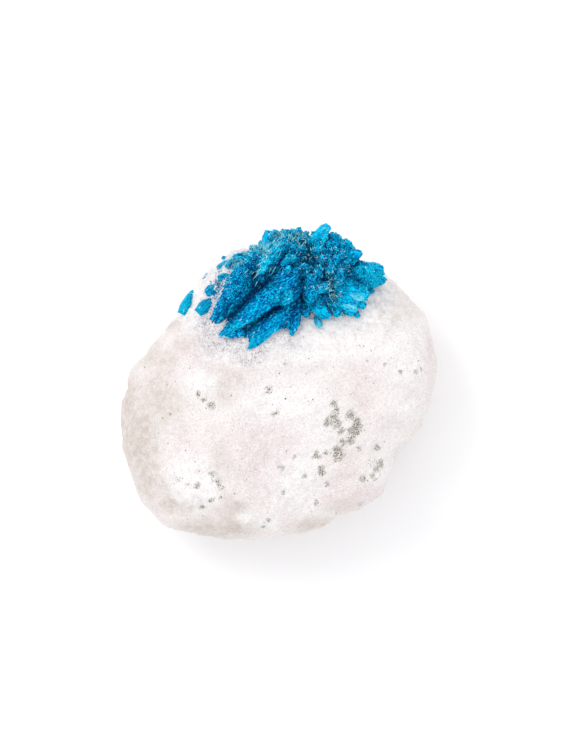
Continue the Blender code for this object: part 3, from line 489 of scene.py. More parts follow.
# Zones where white fibres grow among the crystals, in plan: x, y, radius along x, radius along y, strength.
FIBRE_ZONES = (
    (2.2, 20.3, 2.2, 1.0, 0.8), (-6.3, 17.3, 1.3, 1.0, 0.8), (-1.9, 18.7, 0.9, 1.2, 0.9),
    (-7.2, 14.8, 0.7, 1.6, 0.6), (9.5, 16.2, 0.8, 0.8, 0.9), (7.6, 12.9, 0.5, 1.4, 0.9),
    (8.7, 18.1, 1.5, 0.7, 0.7), (-3.4, 18.9, 1.4, 0.7, 0.7), (5.2, 18.0, 3.6, 2.4, 0.45),
    (6.8, 13.8, 2.2, 1.8, 0.40), (0.4, 20.6, 1.6, 0.8, 0.7), (-5.0, 6.6, 1.2, 0.5, 0.35),
)
# How sharply those zones and the pale faces end.
FIBRE_EDGE = 1.2
FACE_EDGE = 2.0
# Where long threads run along the lobes: x, y, radius along x, radius along y, strength.
THREAD_ZONES = (
    (-3.2, 18.2, 1.8, 2.4, 0.9), (-1.2, 20.2, 1.6, 0.9, 0.7), (7.6, 12.4, 0.7, 1.6, 0.9),
    (-9.0, 13.2, 0.8, 2.0, 1.0), (0.8, 19.8, 2.2, 1.0, 0.35), (-6.4, 17.2, 1.2, 1.0, 0.6),
)
# Broad pale faces that catch the light: x, y, radius along x, radius along y, strength.
PALE_FACES = (
    (11.1, 11.9, 0.70, 0.50, 0.7), (10.4, 10.5, 0.70, 0.40, 0.7), (6.7, 21.6, 0.7, 0.4, 0.2),
    (5.9, 13.4, 0.7, 0.3, 0.2), (-0.4, 19.6, 0.7, 0.4, 0.25), (8.6, 15.8, 0.4, 0.3, 0.2),
    (-2.1, 18.9, 0.95, 0.95, 0.75), (-6.2, 17.0, 0.8, 0.8, 0.45), (0.0, 20.9, 1.2, 0.6, 0.40),
    (3.2, 21.0, 1.2, 0.5, 0.35), (5.6, 8.3, 0.5, 0.8, 0.45),
)

# Crystals on the lobes: how many, width, length, share of the width left at the end, and the shares of axis,
# outward lean and scatter in their heading.
RODS = (160, (0.40, 0.70), (0.8, 1.5), (0.2, 0.6), (1.0, 0.22, 0.12))
GRAINS = (11000, (0.15, 0.34), (0.20, 0.40), (0.6, 0.95), (0.4, 0.9, 0.5))
BLADE_GRAINS = (1100, (0.14, 0.30), (0.20, 0.36), (0.6, 0.95), (0.8, 0.7, 0.4))
FLECKS = (200, (0.09, 0.15), (0.10, 0.30), (0.5, 1.0), (0.4, 1.0, 0.8))
# Painted glints: the tiny flecks are made pale all over by the painted sheen.
FLECK_SHEEN = 0.9
# A prism's thickness as a share of its width, and how far its end slants, as a share of its length.
PRISM_FLATNESS = 0.8
PRISM_SLANT = (0.0, 0.35)
# How much of a crystal is sunk in the lobe: past this share of the lobe's length, and before it.
CRYSTAL_TIP = 0.8
CRYSTAL_SINKS = (0.55, 0.7)
# Places tried for each crystal, their range along a lobe, and how far off it they have to be in the open.
PLACE_TRIES = 6
PLACE_SHARES = (0.05, 0.99)
OPEN_STEP = 0.25
# How deep inside the hearts, a lobe and the nodule a place counts as buried: shares, 1 at their surface.
HEART_LIMIT = 0.86
LOBE_LIMIT = 0.85
STONE_LIMIT = 0.97

# Single crystals in the crust: node, root, tip, width, thickness, roll, tone.
SINGLES = (
    ("crystal_left_tip", (-12.0, 12.8, 16.2), (-13.9, 9.7, 17.6), 1.8, 1.5, 20, 0.80),
    ("crystal_mound_lower", (-9.3, 11.7, 20.6), (-11.5, 9.8, 21.7), 2.0, 1.6, 10, 0.62),
    ("crystal_mound_middle", (-8.8, 13.3, 19.8), (-10.3, 12.6, 21.6), 1.7, 1.4, 0, 0.54),
    ("crystal_mound_upper", (-7.0, 15.2, 19.8), (-8.6, 14.6, 21.3), 1.1, 1.0, 0, 0.50),
    ("crystal_mound_edge", (-10.0, 15.6, 15.0), (-10.8, 14.2, 18.6), 0.7, 0.8, 0, 0.50),
    ("crystal_mound_sliver", (-7.2, 17.2, 16.9), (-8.8, 16.1, 18.9), 0.9, 0.9, 0, 0.70),
    ("crystal_mound_splinter", (-6.4, 17.6, 17.0), (-7.5, 16.3, 19.9), 0.9, 0.9, 0, 0.78),
    ("crystal_crest", (-7.0, 17.2, 14.2), (-8.1, 17.8, 15.6), 0.8, 0.8, 0, 0.64),
    ("crystal_front_chip", (5.1, 9.2, 22.7), (5.8, 7.8, 24.1), 1.1, 1.0, 0, 0.90),
    ("crystal_front_right_chip", (10.4, 10.2, 21.2), (11.2, 9.2, 22.9), 1.0, 0.9, 0, 0.64),
)
SINGLE_TEAL = 0.45
# The form of single and flat-faced crystals: girth along the length, points round it, and the chisel end,
# with the share of the length where it starts and its width there and at the end.
FORM_SHARES = (0.0, 0.2, 0.4, 0.6, 0.76, 0.84, 0.93, 1.0)
FORM_SCALES = (0.62, 0.8, 0.95, 0.97, 0.88, 0.8, 0.7, 0.0)
FORM_TURNS = 24
CHISEL_FROM = 0.84
CHISEL_START = 0.8
CHISEL_END = 0.7

# The stripes along them and their fine waves: wavelength, height, seed. Then how drawn out the stripes and
# the colour's patterns are, and how far the sides sink for them.
STRIPES = ((0.35, 0.035, 31),)
FORM_WAVES = ((0.3, 0.02, 32),)
STRIPE_DRAW = 0.85
FORM_DRAW = 0.6
STRIPE_SINK = 0.03
# Their looks: calm, how much of the tone goes with the stripes, teal, sugar.
SINGLE_LOOK = (0.0, 3.0, SINGLE_TEAL, 0.5)
BLOCK_LOOK = (1.0, 1.5, 0.0, 1.0)

# Zones of small blue chips caught in the crust: x, y, radius along x, radius along y, chips.
CHIP_ZONES = (
    (-7.8, 12.8, 0.5, 1.3, 100), (-8.5, 11.6, 0.5, 1.1, 100), (-6.6, 15.2, 0.9, 0.5, 60),
    (3.0, 8.8, 1.0, 0.3, 6), (8.2, 9.4, 2.0, 0.3, 8),
)
# The chips: length, width, share of the width left at the end, and the shares of outward lean and scatter in
# their heading; then how much of one is sunk in the crust, and their tones.
CHIPS = ((0.2, 0.45), (0.10, 0.22), (0.4, 0.9), (0.5, 0.7))
CHIP_SINK = 0.3
CHIP_TONES = (0.0, 0.7)

# How far the painted shadow of the spray on the felted crust reaches out from it.
FELT_SHADOW_REACH = 1.0
# Where along X that painted shadow fades towards the right, and to what share.
FELT_SHADOW_FALL = ((-1.0, 4.0), (1.0, 0.15))
# How much less grainy the skin is where the warm stains and the painted flank shade lie.
GRAIN_LOSS = 0.6

# White needles of the crust round the spray: they are longest near it and on the mound.
NEEDLES = 15000
NEEDLE_WIDTH = (0.06, 0.11)
NEEDLE_LENGTH = (0.25, 0.8)
NEEDLE_NEAR = 2.4
NEEDLE_FAR_SHARE = 0.35
MOUND = ((-9.6, 12.6, 5.0, 5.6, 1.0),)
# The square of their places in the crust's oval has this range, so that they spread evenly. Then the share of
# the nodule's plan radius within which they lie, their outward lean and scatter, and how deep a foot stands.
NEEDLE_OVALS = (0.2, 1.25)
NEEDLE_RIM = 0.985
NEEDLE_HEADING = (0.75, 0.55)
NEEDLE_FOOT = 0.05

# White fibres and threads among the crystals: the most, zones, lengths, widths, and the shares of axis,
# outward lean and scatter in their heading. Then the places tried, the chance that one is taken in the middle
# of a zone, and how far down the lobe's side may face there.
FIBRES = (540, FIBRE_ZONES, (0.25, 0.65), (0.09, 0.13), (0.4, 0.5, 0.6))
THREADS = (200, THREAD_ZONES, (0.5, 1.5), (0.07, 0.11), (1.0, 0.12, 0.25))
FIBRE_TRIES = 60000
FIBRE_CHANCE = 0.6
FIBRE_LIFT = -0.1

# How fine each pattern's detail is, and which of its outputs is read.
NOISE_DETAIL = {"Noise": {"Detail": 3.0, "Roughness": 0.62}, "Voronoi": {}}
PATTERN_OUTPUTS = {"Noise": None, "Voronoi": "Color"}
# The inputs of a change of range, and the range that nearly all of a noise keeps to.
RANGE_INPUTS = ("From Min", "From Max", "To Min", "To Max")
NOISE_SPREAD = (0.35, 0.65)

# The view: millimetres, but for the lamp and the floor, which are in metres.
CAMERA_DISTANCE = 900.0
FRAME_HEIGHT = 106.8
FRAME_CENTRE = (0.32, 1.07)
FOCUS_HEIGHT = 11.0
SKY_STRENGTH = 1.11
LAMP_POWER = 2.15
LAMP_PLACE = (-0.48, 0.42, 0.85)
LAMP_SIZE = 0.45
FLOOR_HALF = 2.5
SEED = 21


def linear(hex_colour):
    """The linear values of an sRGB hex colour, with full alpha."""
    channels = (int(hex_colour[i : i + 2], 16) / 255 for i in (0, 2, 4))
    return (*(c / 12.92 if c <= 0.04045 else ((c + 0.055) / 1.055) ** 2.4 for c in channels), 1.0)


def unit(vectors):
    """Each row divided by its length."""
    return vectors / np.maximum(np.linalg.norm(vectors, axis=-1, keepdims=True), 1e-9)


def heading(bearing, lift):
    """The direction at a bearing from +X, lifted off the level, both in degrees."""
    bearing, lift = math.radians(bearing), math.radians(lift)
    return np.array([math.cos(lift) * math.cos(bearing), math.cos(lift) * math.sin(bearing), math.sin(lift)])


def turned(points, degrees):
    """Points turned about the Z axis."""
    angle = math.radians(degrees)
    x = points[:, 0] * math.cos(angle) - points[:, 1] * math.sin(angle)
    y = points[:, 0] * math.sin(angle) + points[:, 1] * math.cos(angle)
    return np.stack([x, y, points[:, 2]], axis=1)


def ramp(values, start, end):
    """Nought at the start and before it, one at the end and past it, and straight between them."""
    return np.clip((values - start) / (end - start), 0, 1)


def bell(distance, reach):
    """One at no distance, falling off past a reach: e to the power of minus their ratio's square."""
    return np.exp(-((distance / reach) ** 2))


def ripple(points, wavelength, seed):
    """Smooth noise of spread one: the sum of cosine waves of one length along seeded directions."""
    random = np.random.default_rng(seed)
    directions = unit(random.normal(size=(RIPPLE_WAVES, 3)))
    phases = random.uniform(0, 2 * math.pi, RIPPLE_WAVES)
    cosines = np.cos(points @ directions.T * (2 * math.pi / wavelength) + phases)
    return cosines.sum(axis=1) * math.sqrt(2 / RIPPLE_WAVES)


def waves(points, rows, creased=False):
    """The sum of ripples by wavelength, height and seed; creased ones are folded at their middle height."""
    height = np.zeros(len(points))
    for wavelength, rise, seed in rows:
        wave = ripple(points, wavelength, seed)
        height += rise * (np.abs(wave) if creased else wave)
    return height


def cells(points, size, seed):
    """Each point's cell among seeds, one to a cube: offset from the seed, depth in the cell, and number."""
    place = points / size + CELL_SHIFT
    corner = np.floor(place).astype(np.int64)
    nearest, second = np.full((2, len(points)), 9.0)
    offset, number = np.zeros_like(points), np.zeros(len(points), dtype=np.int64)
    for step in np.ndindex(3, 3, 3):
        cube = corner + step - 1
        key = (cube @ CELL_STRIDES + seed * CELL_SEED_STRIDE) % len(CELL_TABLE)
        away = place - cube - CELL_TABLE[key]
        gap = (away**2).sum(axis=1)
        closer = gap < nearest
        second = np.where(closer, nearest, np.minimum(second, gap))
        offset = np.where(closer[:, None], away, offset)
        number = np.where(closer, key, number)
        nearest = np.minimum(nearest, gap)
    return offset * size, np.sqrt(second) - np.sqrt(nearest), number


def crystal_skin(points):
    """A skin of crystals in two sizes: height of their tilted faces, nearness to the gaps between them, where
    shade is painted, and their shades.
    """
    height, crack_shade, shade = np.zeros((3, len(points)))
    for seed, (size, stand) in enumerate(SKIN_CRYSTALS, 11):
        offset, inside, number = cells(points, size, seed)
        tilt = unit(CELL_TABLE[number] - 0.5)
        step = size * FACE_STEP * (CELL_TABLE[number, 0] - 0.5)
        height += stand * ((offset * tilt).sum(axis=1) + step)
        crack_shade = np.maximum(crack_shade, np.exp(-inside / CRACK_WIDTH))
        shade += CELL_TABLE[number, 1] - 0.5
    return height, crack_shade, shade


def plan_radius(bearing):
    """The nodule's plan radius at a bearing: a Catmull-Rom curve through PLAN_RADII."""
    radii = np.asarray(PLAN_RADII)
    count = len(radii)
    place = np.mod(bearing / (2 * math.pi) * count, count)
    first = np.floor(place).astype(int)
    t = place - first
    a, b, c, d = (radii[(first + k) % count] for k in (-1, 0, 1, 2))
    return 0.5 * (2 * b + (c - a) * t + (2 * a - 5 * b + 4 * c - d) * t**2 + (3 * b - a - 3 * c + d) * t**3)


def plan_share(x, y):
    """Where plan places lie in the nodule's outline: as a share of its radius there, and at which bearing."""
    dx, dy = x - NODULE_CENTRE[0], y - NODULE_CENTRE[1]
    bearing = np.arctan2(dy, dx)
    return np.hypot(dx, dy) / plan_radius(bearing), bearing


def cube_sphere(cells_across):
    """Directions and quads: a cube's six grids, evened out by a tangent and blown up to a sphere."""
    steps = np.tan(np.linspace(-1, 1, cells_across + 1) * math.pi / 4)
    u, v = (grid.ravel() for grid in np.meshgrid(steps, steps, indexing="ij"))
    one = np.ones_like(u)
    sides = ((u, v, one), (v, u, -one), (one, u, v), (-one, v, u), (v, one, u), (u, -one, v))
    directions = unit(np.concatenate([np.stack(side, axis=1) for side in sides]))
    corner = np.arange(len(u)).reshape(len(steps), len(steps))
    quad = np.stack([corner[:-1, :-1], corner[1:, :-1], corner[1:, 1:], corner[:-1, 1:]], axis=-1)
    quads = np.concatenate([quad.reshape(-1, 4) + k * corner.size for k in range(6)])
    _, first, index = np.unique(np.round(directions, 6), axis=0, return_index=True, return_inverse=True)
    return directions[first], index.reshape(-1)[quads]


def distance_to_path(points, path):
    """How far each point is from a path of straight runs."""
    nearest = np.full(len(points), np.inf)
    for start, end in zip(np.asarray(path[:-1]), np.asarray(path[1:])):
        run = end - start
        along = np.clip((points - start) @ run / (run @ run), 0, 1)
        nearest = np.minimum(nearest, np.linalg.norm(points - start - along[:, None] * run, axis=1))
    return nearest


def crust_share(points):
    """One inside the oval apron of sugary crust on the upper side, fading to nothing at its edge."""
    oval = np.hypot(*((points[:, :2] - CRUST_CENTRE) / CRUST_RADII).T)
    return ramp(oval, *CRUST_FADE) * ramp(points[:, 2], *CRUST_FOOT)


def relief(points):
    """The height of swells, valley, fold, crust and slow undulations at each point of the smooth nodule."""
    height = CRUST_HEIGHT * crust_share(points)
    for x, y, z, reach, rise in SWELLS:
        height += rise * bell(np.linalg.norm(points - (x, y, z), axis=1), reach)
    height -= VALLEY_DEPTH * bell(distance_to_path(points, VALLEY), VALLEY_REACH)
    height += FOLD_HEIGHT * bell(distance_to_path(points, FOLD), FOLD_REACH)
    rise, pace, start = CHEQUER
    height += rise * np.sin(points[:, :2] * pace + start).prod(axis=1)
    rise, pace = SLANT
    height += rise * np.sin(points @ pace)
    return height


def nodule_surface(directions):
    """Points and outward normals: a superellipse over the plan outline, plus relief, cut by facets."""
    bearing = np.arctan2(directions[:, 1], directions[:, 0])
    flat = np.hypot(directions[:, 0], directions[:, 1])
    upper = directions[:, 2] >= 0
    power = np.where(upper, TOP_POWER, BOTTOM_POWER)
    depth = np.where(upper, TOP_RISE, BOTTOM_DROP)
    share = flat ** (2 / power)
    lift = np.sign(directions[:, 2]) * np.abs(directions[:, 2]) ** (2 / power)
    radius = plan_radius(bearing)
    x = NODULE_CENTRE[0] + radius * share * np.cos(bearing)
    y = NODULE_CENTRE[1] + radius * share * np.sin(bearing)
    points = np.stack([x, y, EQUATOR_HEIGHT + depth * lift], axis=1)
    slope = share ** (power - 1) / radius
    rise = np.sign(lift) * np.abs(lift) ** (power - 1) / depth
    normal = unit(np.stack([slope * np.cos(bearing), slope * np.sin(bearing), rise], axis=1))
    points += normal * relief(points)[:, None]
    for bearing, lean, reach in FACETS:
        out = heading(bearing, lean)
        over = np.maximum((points - FACET_ORIGIN) @ out - reach, 0)
        points -= FACET_CUT * over[:, None] * out
    return points, normal


def plan_directions(x, y):
    """Directions of the upper nodule's points that lie over plan places: the plan outline's share, undone."""
    share, bearing = plan_share(x, y)
    flat = np.minimum(share, RIM_SHARE) ** (TOP_POWER / 2)
    return np.stack([flat * np.cos(bearing), flat * np.sin(bearing), np.sqrt(1 - flat**2)], axis=1)


def skin(points):
    """The fine height of the nodule's skin: soft lumps, chalky grain, marks, pits and the crust's sugar."""
    height = waves(points, SKIN_WAVES) + waves(points, SKIN_CREASES, True)
    sugar = waves(points, CRUST_WAVES) + waves(points, CRUST_CREASES, True) - CRUST_SINK
    height += crust_share(points) * sugar
    for path, rise, reach in SKIN_MARKS:
        height += rise * bell(distance_to_path(points, path), reach)
    random = np.random.default_rng(SEED)
    x, y, reaches, depths = (random.uniform(*pair, PIT_COUNT) for pair in (*PIT_FIELD, PIT_REACH, PIT_DEPTH))
    places = nodule_surface(plan_directions(x, y))[0]
    for place, reach, depth in zip(places, reaches, depths):
        height -= depth * bell(np.linalg.norm(points - place, axis=1), reach)
    return height


def skin_at(x, y):
    """Points and normals on the finished skin over plan places."""
    points, normals = nodule_surface(plan_directions(x, y))
    return points + normals * skin(points)[:, None], normals


def spots(points, ovals, sharpness=1.5):
    """How strongly soft ovals in plan cover each point: the largest of them."""
    strength = np.zeros(len(points))
    for x, y, wide, deep, amount in ovals:
        spread = ((points[:, 0] - x) / wide) ** 2 + ((points[:, 1] - y) / deep) ** 2
        strength = np.maximum(strength, amount * np.exp(-(spread**sharpness)))
    return strength


def scattered_in(zones, random):
    """Seeded plan places in oval zones, each with its number: spread from the middle by half the radii."""
    rows = []
    for x, y, wide, deep, count in zones:
        rows.append(random.normal(size=(count, 2)) * (wide * 0.5, deep * 0.5) + (x, y))
    return np.concatenate(rows).T


def into_box(points):
    """Points kept a hair inside the solid model's box."""
    return np.clip(points, BOX_LOW + LOW_GAP, BOX_HIGH - HIGH_GAP)


def fitting(shapes):
    """Which of the small shapes lie wholly inside the solid model's box."""
    return ((shapes > BOX_LOW + SHAPE_GAP) & (shapes < BOX_HIGH - SHAPE_GAP)).all(axis=(1, 2))


def placed(name, data):
    """A new object in the scene."""
    obj = bpy.data.objects.new(name, data)
    bpy.context.scene.collection.objects.link(obj)
    return obj


def new_piece(name, points, face_sets, material, values, nodes=(), smooth=False):
    """A mesh from whole arrays, riding on the body.

    Points are in millimetres, each set of faces is an array of equal-sided faces, values are attributes of
    the points, and nodes are the solids that the piece stands for.
    """
    mesh = bpy.data.meshes.new(name)
    mesh.vertices.add(len(points))
    mesh.vertices.foreach_set("co", (points * MM).astype(np.float32).ravel())
    corners = np.concatenate([faces.ravel() for faces in face_sets]).astype(np.int32)
    sizes = np.concatenate([np.full(len(faces), faces.shape[1]) for faces in face_sets])
    mesh.loops.add(len(corners))
    mesh.loops.foreach_set("vertex_index", corners)
    mesh.polygons.add(len(sizes))
    mesh.polygons.foreach_set("loop_start", (np.cumsum(sizes) - sizes).astype(np.int32))
    mesh.polygons.foreach_set("use_smooth", np.full(len(sizes), smooth))
    mesh.update(calc_edges=True)
    for label, amounts in values.items():
        kind, field = ("FLOAT", "value") if amounts.ndim == 1 else ("FLOAT_VECTOR", "vector")
        layer = mesh.attributes.new(label, kind, "POINT")
        layer.data.foreach_set(field, amounts.astype(np.float32).ravel())
    mesh.materials.append(material)
    obj = placed(name, mesh)
    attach(obj, BODY)
    if nodes:
        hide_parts(*nodes)


def repeated(count, template, size):
    """The faces of a small shape repeated for count copies that have size points each."""
    faces = np.asarray(template)
    return (faces + np.arange(count)[:, None, None] * size).reshape(-1, faces.shape[1])


def new_heap(name, shapes, faces, material, values):
    """One mesh of many small shapes with the same faces: shapes by their points."""
    count, size = shapes.shape[:2]
    new_piece(name, shapes.reshape(-1, 3), [repeated(count, faces, size)], material, values)


def add(tree, kind, settings=None, inputs=None, output=None):
    """Adds a shader node with its settings and its inputs' constants or links, and gives one output."""
    node = tree.nodes.new(f"ShaderNode{kind}")
    for key, value in (settings or {}).items():
        setattr(node, key, value)
    for key, value in (inputs or {}).items():
        named = [socket for socket in node.inputs if socket.name == key and socket.enabled]
        socket = named[0] if named else node.inputs[key]
        if isinstance(value, bpy.types.NodeSocket):
            tree.links.new(value, socket)
        else:
            socket.default_value = value
    return node.outputs[output] if output else [socket for socket in node.outputs if socket.enabled][0]


def surface(name, constants, ground, layers, rough, grain, places=None):
    """A material whose colours lie one over another, each by a pattern, an attribute of the mesh, or both.

    A layer is: colour, attribute or none, pattern or none, the range of its value, and the amounts at its
    ends. A pattern is "Noise", a soft cloud, or "Voronoi", a chance value for each small face, with its size
    in millimetres. rough is a noise's size, then roughness at its low and high end. grain is a noise's size,
    depth and strength. places is the attribute that gives the patterns their places, instead of the points.
    """
    made = bpy.data.materials.new(name)
    made.use_nodes = True
    tree = made.node_tree
    shader = tree.nodes["Principled BSDF"]
    for key, value in constants.items():
        shader.inputs[key].default_value = value
    if places:
        where = add(tree, "Attribute", {"attribute_name": places}, output="Vector")
    else:
        where = add(tree, "TexCoord", output="Object")
    roughness, bumps = ("Noise", rough[0]), ("Noise", grain[0])
    patterns = {}
    for kind, size in sorted({roughness, bumps} | {layer[2] for layer in layers if layer[2]}):
        inputs = {"Vector": where, "Scale": 1 / (size * MM)} | NOISE_DETAIL[kind]
        patterns[kind, size] = add(tree, f"Tex{kind}", inputs=inputs, output=PATTERN_OUTPUTS[kind])
    colour = linear(ground)
    for tint, label, pattern, *spread in layers:
        share = add(tree, "Attribute", {"attribute_name": label}, output="Fac") if label else None
        inputs = {"Value": patterns[pattern] if pattern else share} | dict(zip(RANGE_INPUTS, spread))
        amount = add(tree, "MapRange", inputs=inputs)
        if label and pattern:
            amount = add(tree, "Math", {"operation": "MULTIPLY"}, {0: share, 1: amount})
        colour = add(tree, "Mix", {"data_type": "RGBA"}, {"Factor": amount, "A": colour, "B": linear(tint)})
    tree.links.new(colour, shader.inputs["Base Color"])
    inputs = {"Value": patterns[roughness]} | dict(zip(RANGE_INPUTS, (*NOISE_SPREAD, *rough[1:])))
    tree.links.new(add(tree, "MapRange", inputs=inputs), shader.inputs["Roughness"])
    inputs = {"Height": patterns[bumps], "Distance": grain[1] * MM, "Strength": grain[2]}
    tree.links.new(add(tree, "Bump", inputs=inputs), shader.inputs["Normal"])
    return made


def chalky_zeolite():
    """Massive zeolite, broken and weathered: matt and chalky, and light goes a little way into it."""
    constants = {
        "IOR": 1.5,
        "Specular IOR Level": 0.25,
        "Subsurface Weight": 0.2,
        "Subsurface Radius": (1.0, 0.92, 0.86),
        "Subsurface Scale": 0.7 * MM,
    }
    layers = (
        ("E4DDDB", None, ("Noise", 3.2), 0.38, 0.62, 0.0, 1.0),
        # Warm brown: real stains, and painted shade on the steep flanks, the underside and some shallow
        # hollows.
        ("C4B9B0", "warm_stain_and_shade", ("Noise", 1.1), 0.30, 0.60, 0.40, 1.0),
        ("DBCDCD", "pink", ("Noise", 1.6), 0.30, 0.60, 0.40, 1.0),
        ("EFEEEE", "white", ("Noise", 1.3), 0.36, 0.56, 0.15, 1.0),
        # Pale: whiter crust, and painted light that lifts the spray's shadow on the crust.
        ("FBF8F6", "bright", ("Noise", 1.3), 0.30, 0.60, 0.30, 1.0),
        # Painted shadow of the spray: a grey-violet shade on the felted crust close to the blue crystals.
        ("DAD7DE", "felt_and_shadow", ("Noise", 0.8), 0.34, 0.60, 0.0, 0.45),
        # Stained pores and chalk dust, a third of a millimetre across.
        ("BFB1A8", None, ("Noise", 0.42), 0.60, 0.74, 0.0, 0.35),
        ("F5F4F4", None, ("Noise", 0.34), 0.58, 0.72, 0.0, 0.40),
        # Grain of the broken surface, the crust's felt and the clay, about a sixth of a millimetre across;
        # the felt's dark grain follows the mask of the painted shadow.
        ("B9AFA9", "grainy", ("Voronoi", 0.15), 0.20, 0.36, 0.36, 0.0),
        ("FDFCFC", "grainy", ("Voronoi", 0.16), 0.62, 0.80, 0.0, 0.40),
        ("928E9A", "felt_and_shadow", ("Voronoi", 0.14), 0.20, 0.38, 0.90, 0.0),
        ("B6B1A9", "speckled", ("Voronoi", 0.18), 0.50, 0.70, 1.0, 0.25),
    )
    return surface("chalky_zeolite", constants, "EAE4E2", layers, (1.1, 0.74, 0.90), (0.30, 0.09, 0.80))


def blue_crystal():
    """Cavansite crystals: deep blue where thick, turquoise where light comes through, with a sugary grain."""
    constants = {
        "IOR": 1.54,
        "Specular IOR Level": 0.05,
        "Specular Tint": linear("A0E8FF"),
        "Subsurface Weight": 0.15,
        "Subsurface Radius": (0.15, 0.6, 1.0),
        "Subsurface Scale": 0.4 * MM,
    }
    layers = (
        ("0070B4", "tone", None, 0.00, 0.30, 0.0, 1.0),
        ("00A0D8", "tone", None, 0.30, 0.60, 0.0, 1.0),
        ("00C8F0", "tone", None, 0.60, 0.85, 0.0, 1.0),
        ("18DAF6", "tone", None, 0.85, 1.20, 0.0, 1.0),
        # Royal blue where the crystals stand thick, and painted shade on groups that turn away from the
        # light.
        ("0062B4", None, ("Noise", 1.4), 0.48, 0.62, 0.0, 0.55),
        ("004080", None, ("Noise", 0.5), 0.50, 0.64, 0.0, 0.30),
        # Greener at thin tips and where white fibres grow through the blue, and painted shade in the cracks
        # between crystals and in closed-in places between lobes.
        ("0C92A8", "teal", None, 0.0, 1.0, 0.0, 1.0),
        ("00587E", "fibrous", ("Noise", 0.26), 0.46, 0.58, 0.0, 0.5),
        ("002A5C", "crack_shade", None, 0.0, 1.0, 0.0, 1.0),
        # The sugar: faces a tenth of a millimetre across, in shade or lit, and a few that throw light back.
        ("002C78", "sugary", ("Voronoi", 0.12), 0.22, 0.46, 0.95, 0.0),
        ("10D8FF", "sugary", ("Voronoi", 0.12), 0.57, 0.78, 0.0, 0.95),
        ("BCF2FF", "sugary", ("Voronoi", 0.14), 0.915, 0.935, 0.0, 0.90),
        ("DCF6EC", "fibrous", ("Voronoi", 0.18), 0.865, 0.885, 0.0, 1.0),
        # Painted shadow in the clefts between the lobes, and a painted reflection: broad faces that are pale
        # with reflected light.
        ("002148", "cleft_shadow", None, 0.0, 1.0, 0.0, 1.0),
        ("8CEAF6", "frost", ("Noise", 0.26), 0.38, 0.60, 0.20, 0.95),
    )
    rough, grain = (0.4, 0.30, 0.55), (0.22, 0.06, 0.8)
    return surface("sugary_cavansite", constants, "004A8C", layers, rough, grain, "drawn")


def white_needle():
    """Fine zeolite needles: silky white in a mat, and tinged blue-green among the blue crystals."""
    constants = {"IOR": 1.5, "Specular IOR Level": 0.3}
    layers = (
        ("E8E6E8", None, ("Noise", 0.8), 0.35, 0.65, 0.0, 1.0),
        ("B8F4EE", "among_blue", None, 0.0, 1.0, 0.0, 1.0),
    )
    return surface("silky_zeolite_needle", constants, "F9F8F8", layers, (0.5, 0.35, 0.6), (0.3, 0.02, 0.2))


def clay_grain():
    """Grains of green-grey clay and dirt in the skin: dull, from olive to dark grey."""
    constants = {"IOR": 1.5, "Specular IOR Level": 0.2}
    layers = (
        ("8E8C80", "tone", None, 0.0, 0.6, 0.0, 1.0),
        ("B2AA92", "tone", None, 0.6, 1.0, 0.0, 1.0),
    )
    return surface("clay_grain", constants, "66645E", layers, (0.5, 0.7, 0.9), (0.2, 0.02, 0.3))


def white_paper():
    """Smooth white paper: matt, with the faintest cloud in its white."""
    constants = {"Specular IOR Level": 0.1}
    layers = (("F8F8F9", None, ("Noise", 60.0), 0.4, 0.6, 0.0, 1.0),)
    return surface("white_paper", constants, "FBFBFB", layers, (20.0, 0.85, 0.95), (5.0, 0.01, 0.1))


def spray_nearness(points, reach):
    """One under the spray's lobes, fading to nothing over a reach beyond their edges in plan."""
    plan = points[:, :2]
    share = np.zeros(len(points))
    for root, tip, width, *_ in (*BLADES, *CROWN, *LUMPS):
        beyond = np.maximum(distance_to_path(plan, (root[:2], tip[:2])) - width / 2, 0)
        share = np.maximum(share, np.exp(-((beyond / reach) ** 1.5)))
    return share


def build_stone(material):
    """The nodule: the smooth form pushed out along its normals by the skin's height, flat where it rests."""
    directions, quads = cube_sphere(STONE_CELLS)
    points, normals = nodule_surface(directions)
    points = points + normals * skin(points)[:, None]
    points[:, 2] = np.maximum(points[:, 2], 0)
    points = into_box(points)
    upper = ramp(points[:, 2], *UPPER_SKIN)
    patches = []
    for x, y, reach, grains in SPECK_PATCHES:
        fill = min(1.0, grains / (SPECK_FILL * reach**2))
        patches.append((x, y, reach * CLAY_REACH, reach * CLAY_REACH, fill))
    clay = spots(points, patches, 1.0) * (1 + waves(points, CLAY_WAVES))
    warm_stain_and_shade = spots(points, WARM_STAINS_AND_SHADE) * upper
    values = {
        # Warm stains, and painted shade on the flanks and underside.
        "warm_stain_and_shade": np.maximum(warm_stain_and_shade, UNDER_SHADE * ramp(points[:, 2], *UNDER_SKIN)),
        "pink": spots(points, PINK_STAINS) * upper,
        "white": np.maximum(spots(points, WHITE_STAINS) * upper, crust_share(points)),
        "speckled": ramp(clay, *CLAY_EDGE) * upper,
        # Whiter crust, and painted light lifting the spray's shadow.
        "bright": spots(points, PALE_AND_LIT_PATCHES) * upper,
        "grainy": 1 - GRAIN_LOSS * warm_stain_and_shade,
        # Painted shadow of the spray on the crust round it, fading towards the right.
        "felt_and_shadow": spray_nearness(points, FELT_SHADOW_REACH) * upper * np.interp(points[:, 0], *FELT_SHADOW_FALL),
    }
    new_piece("zeolite_nodule", points, [quads], material, values, ["matrix"], True)


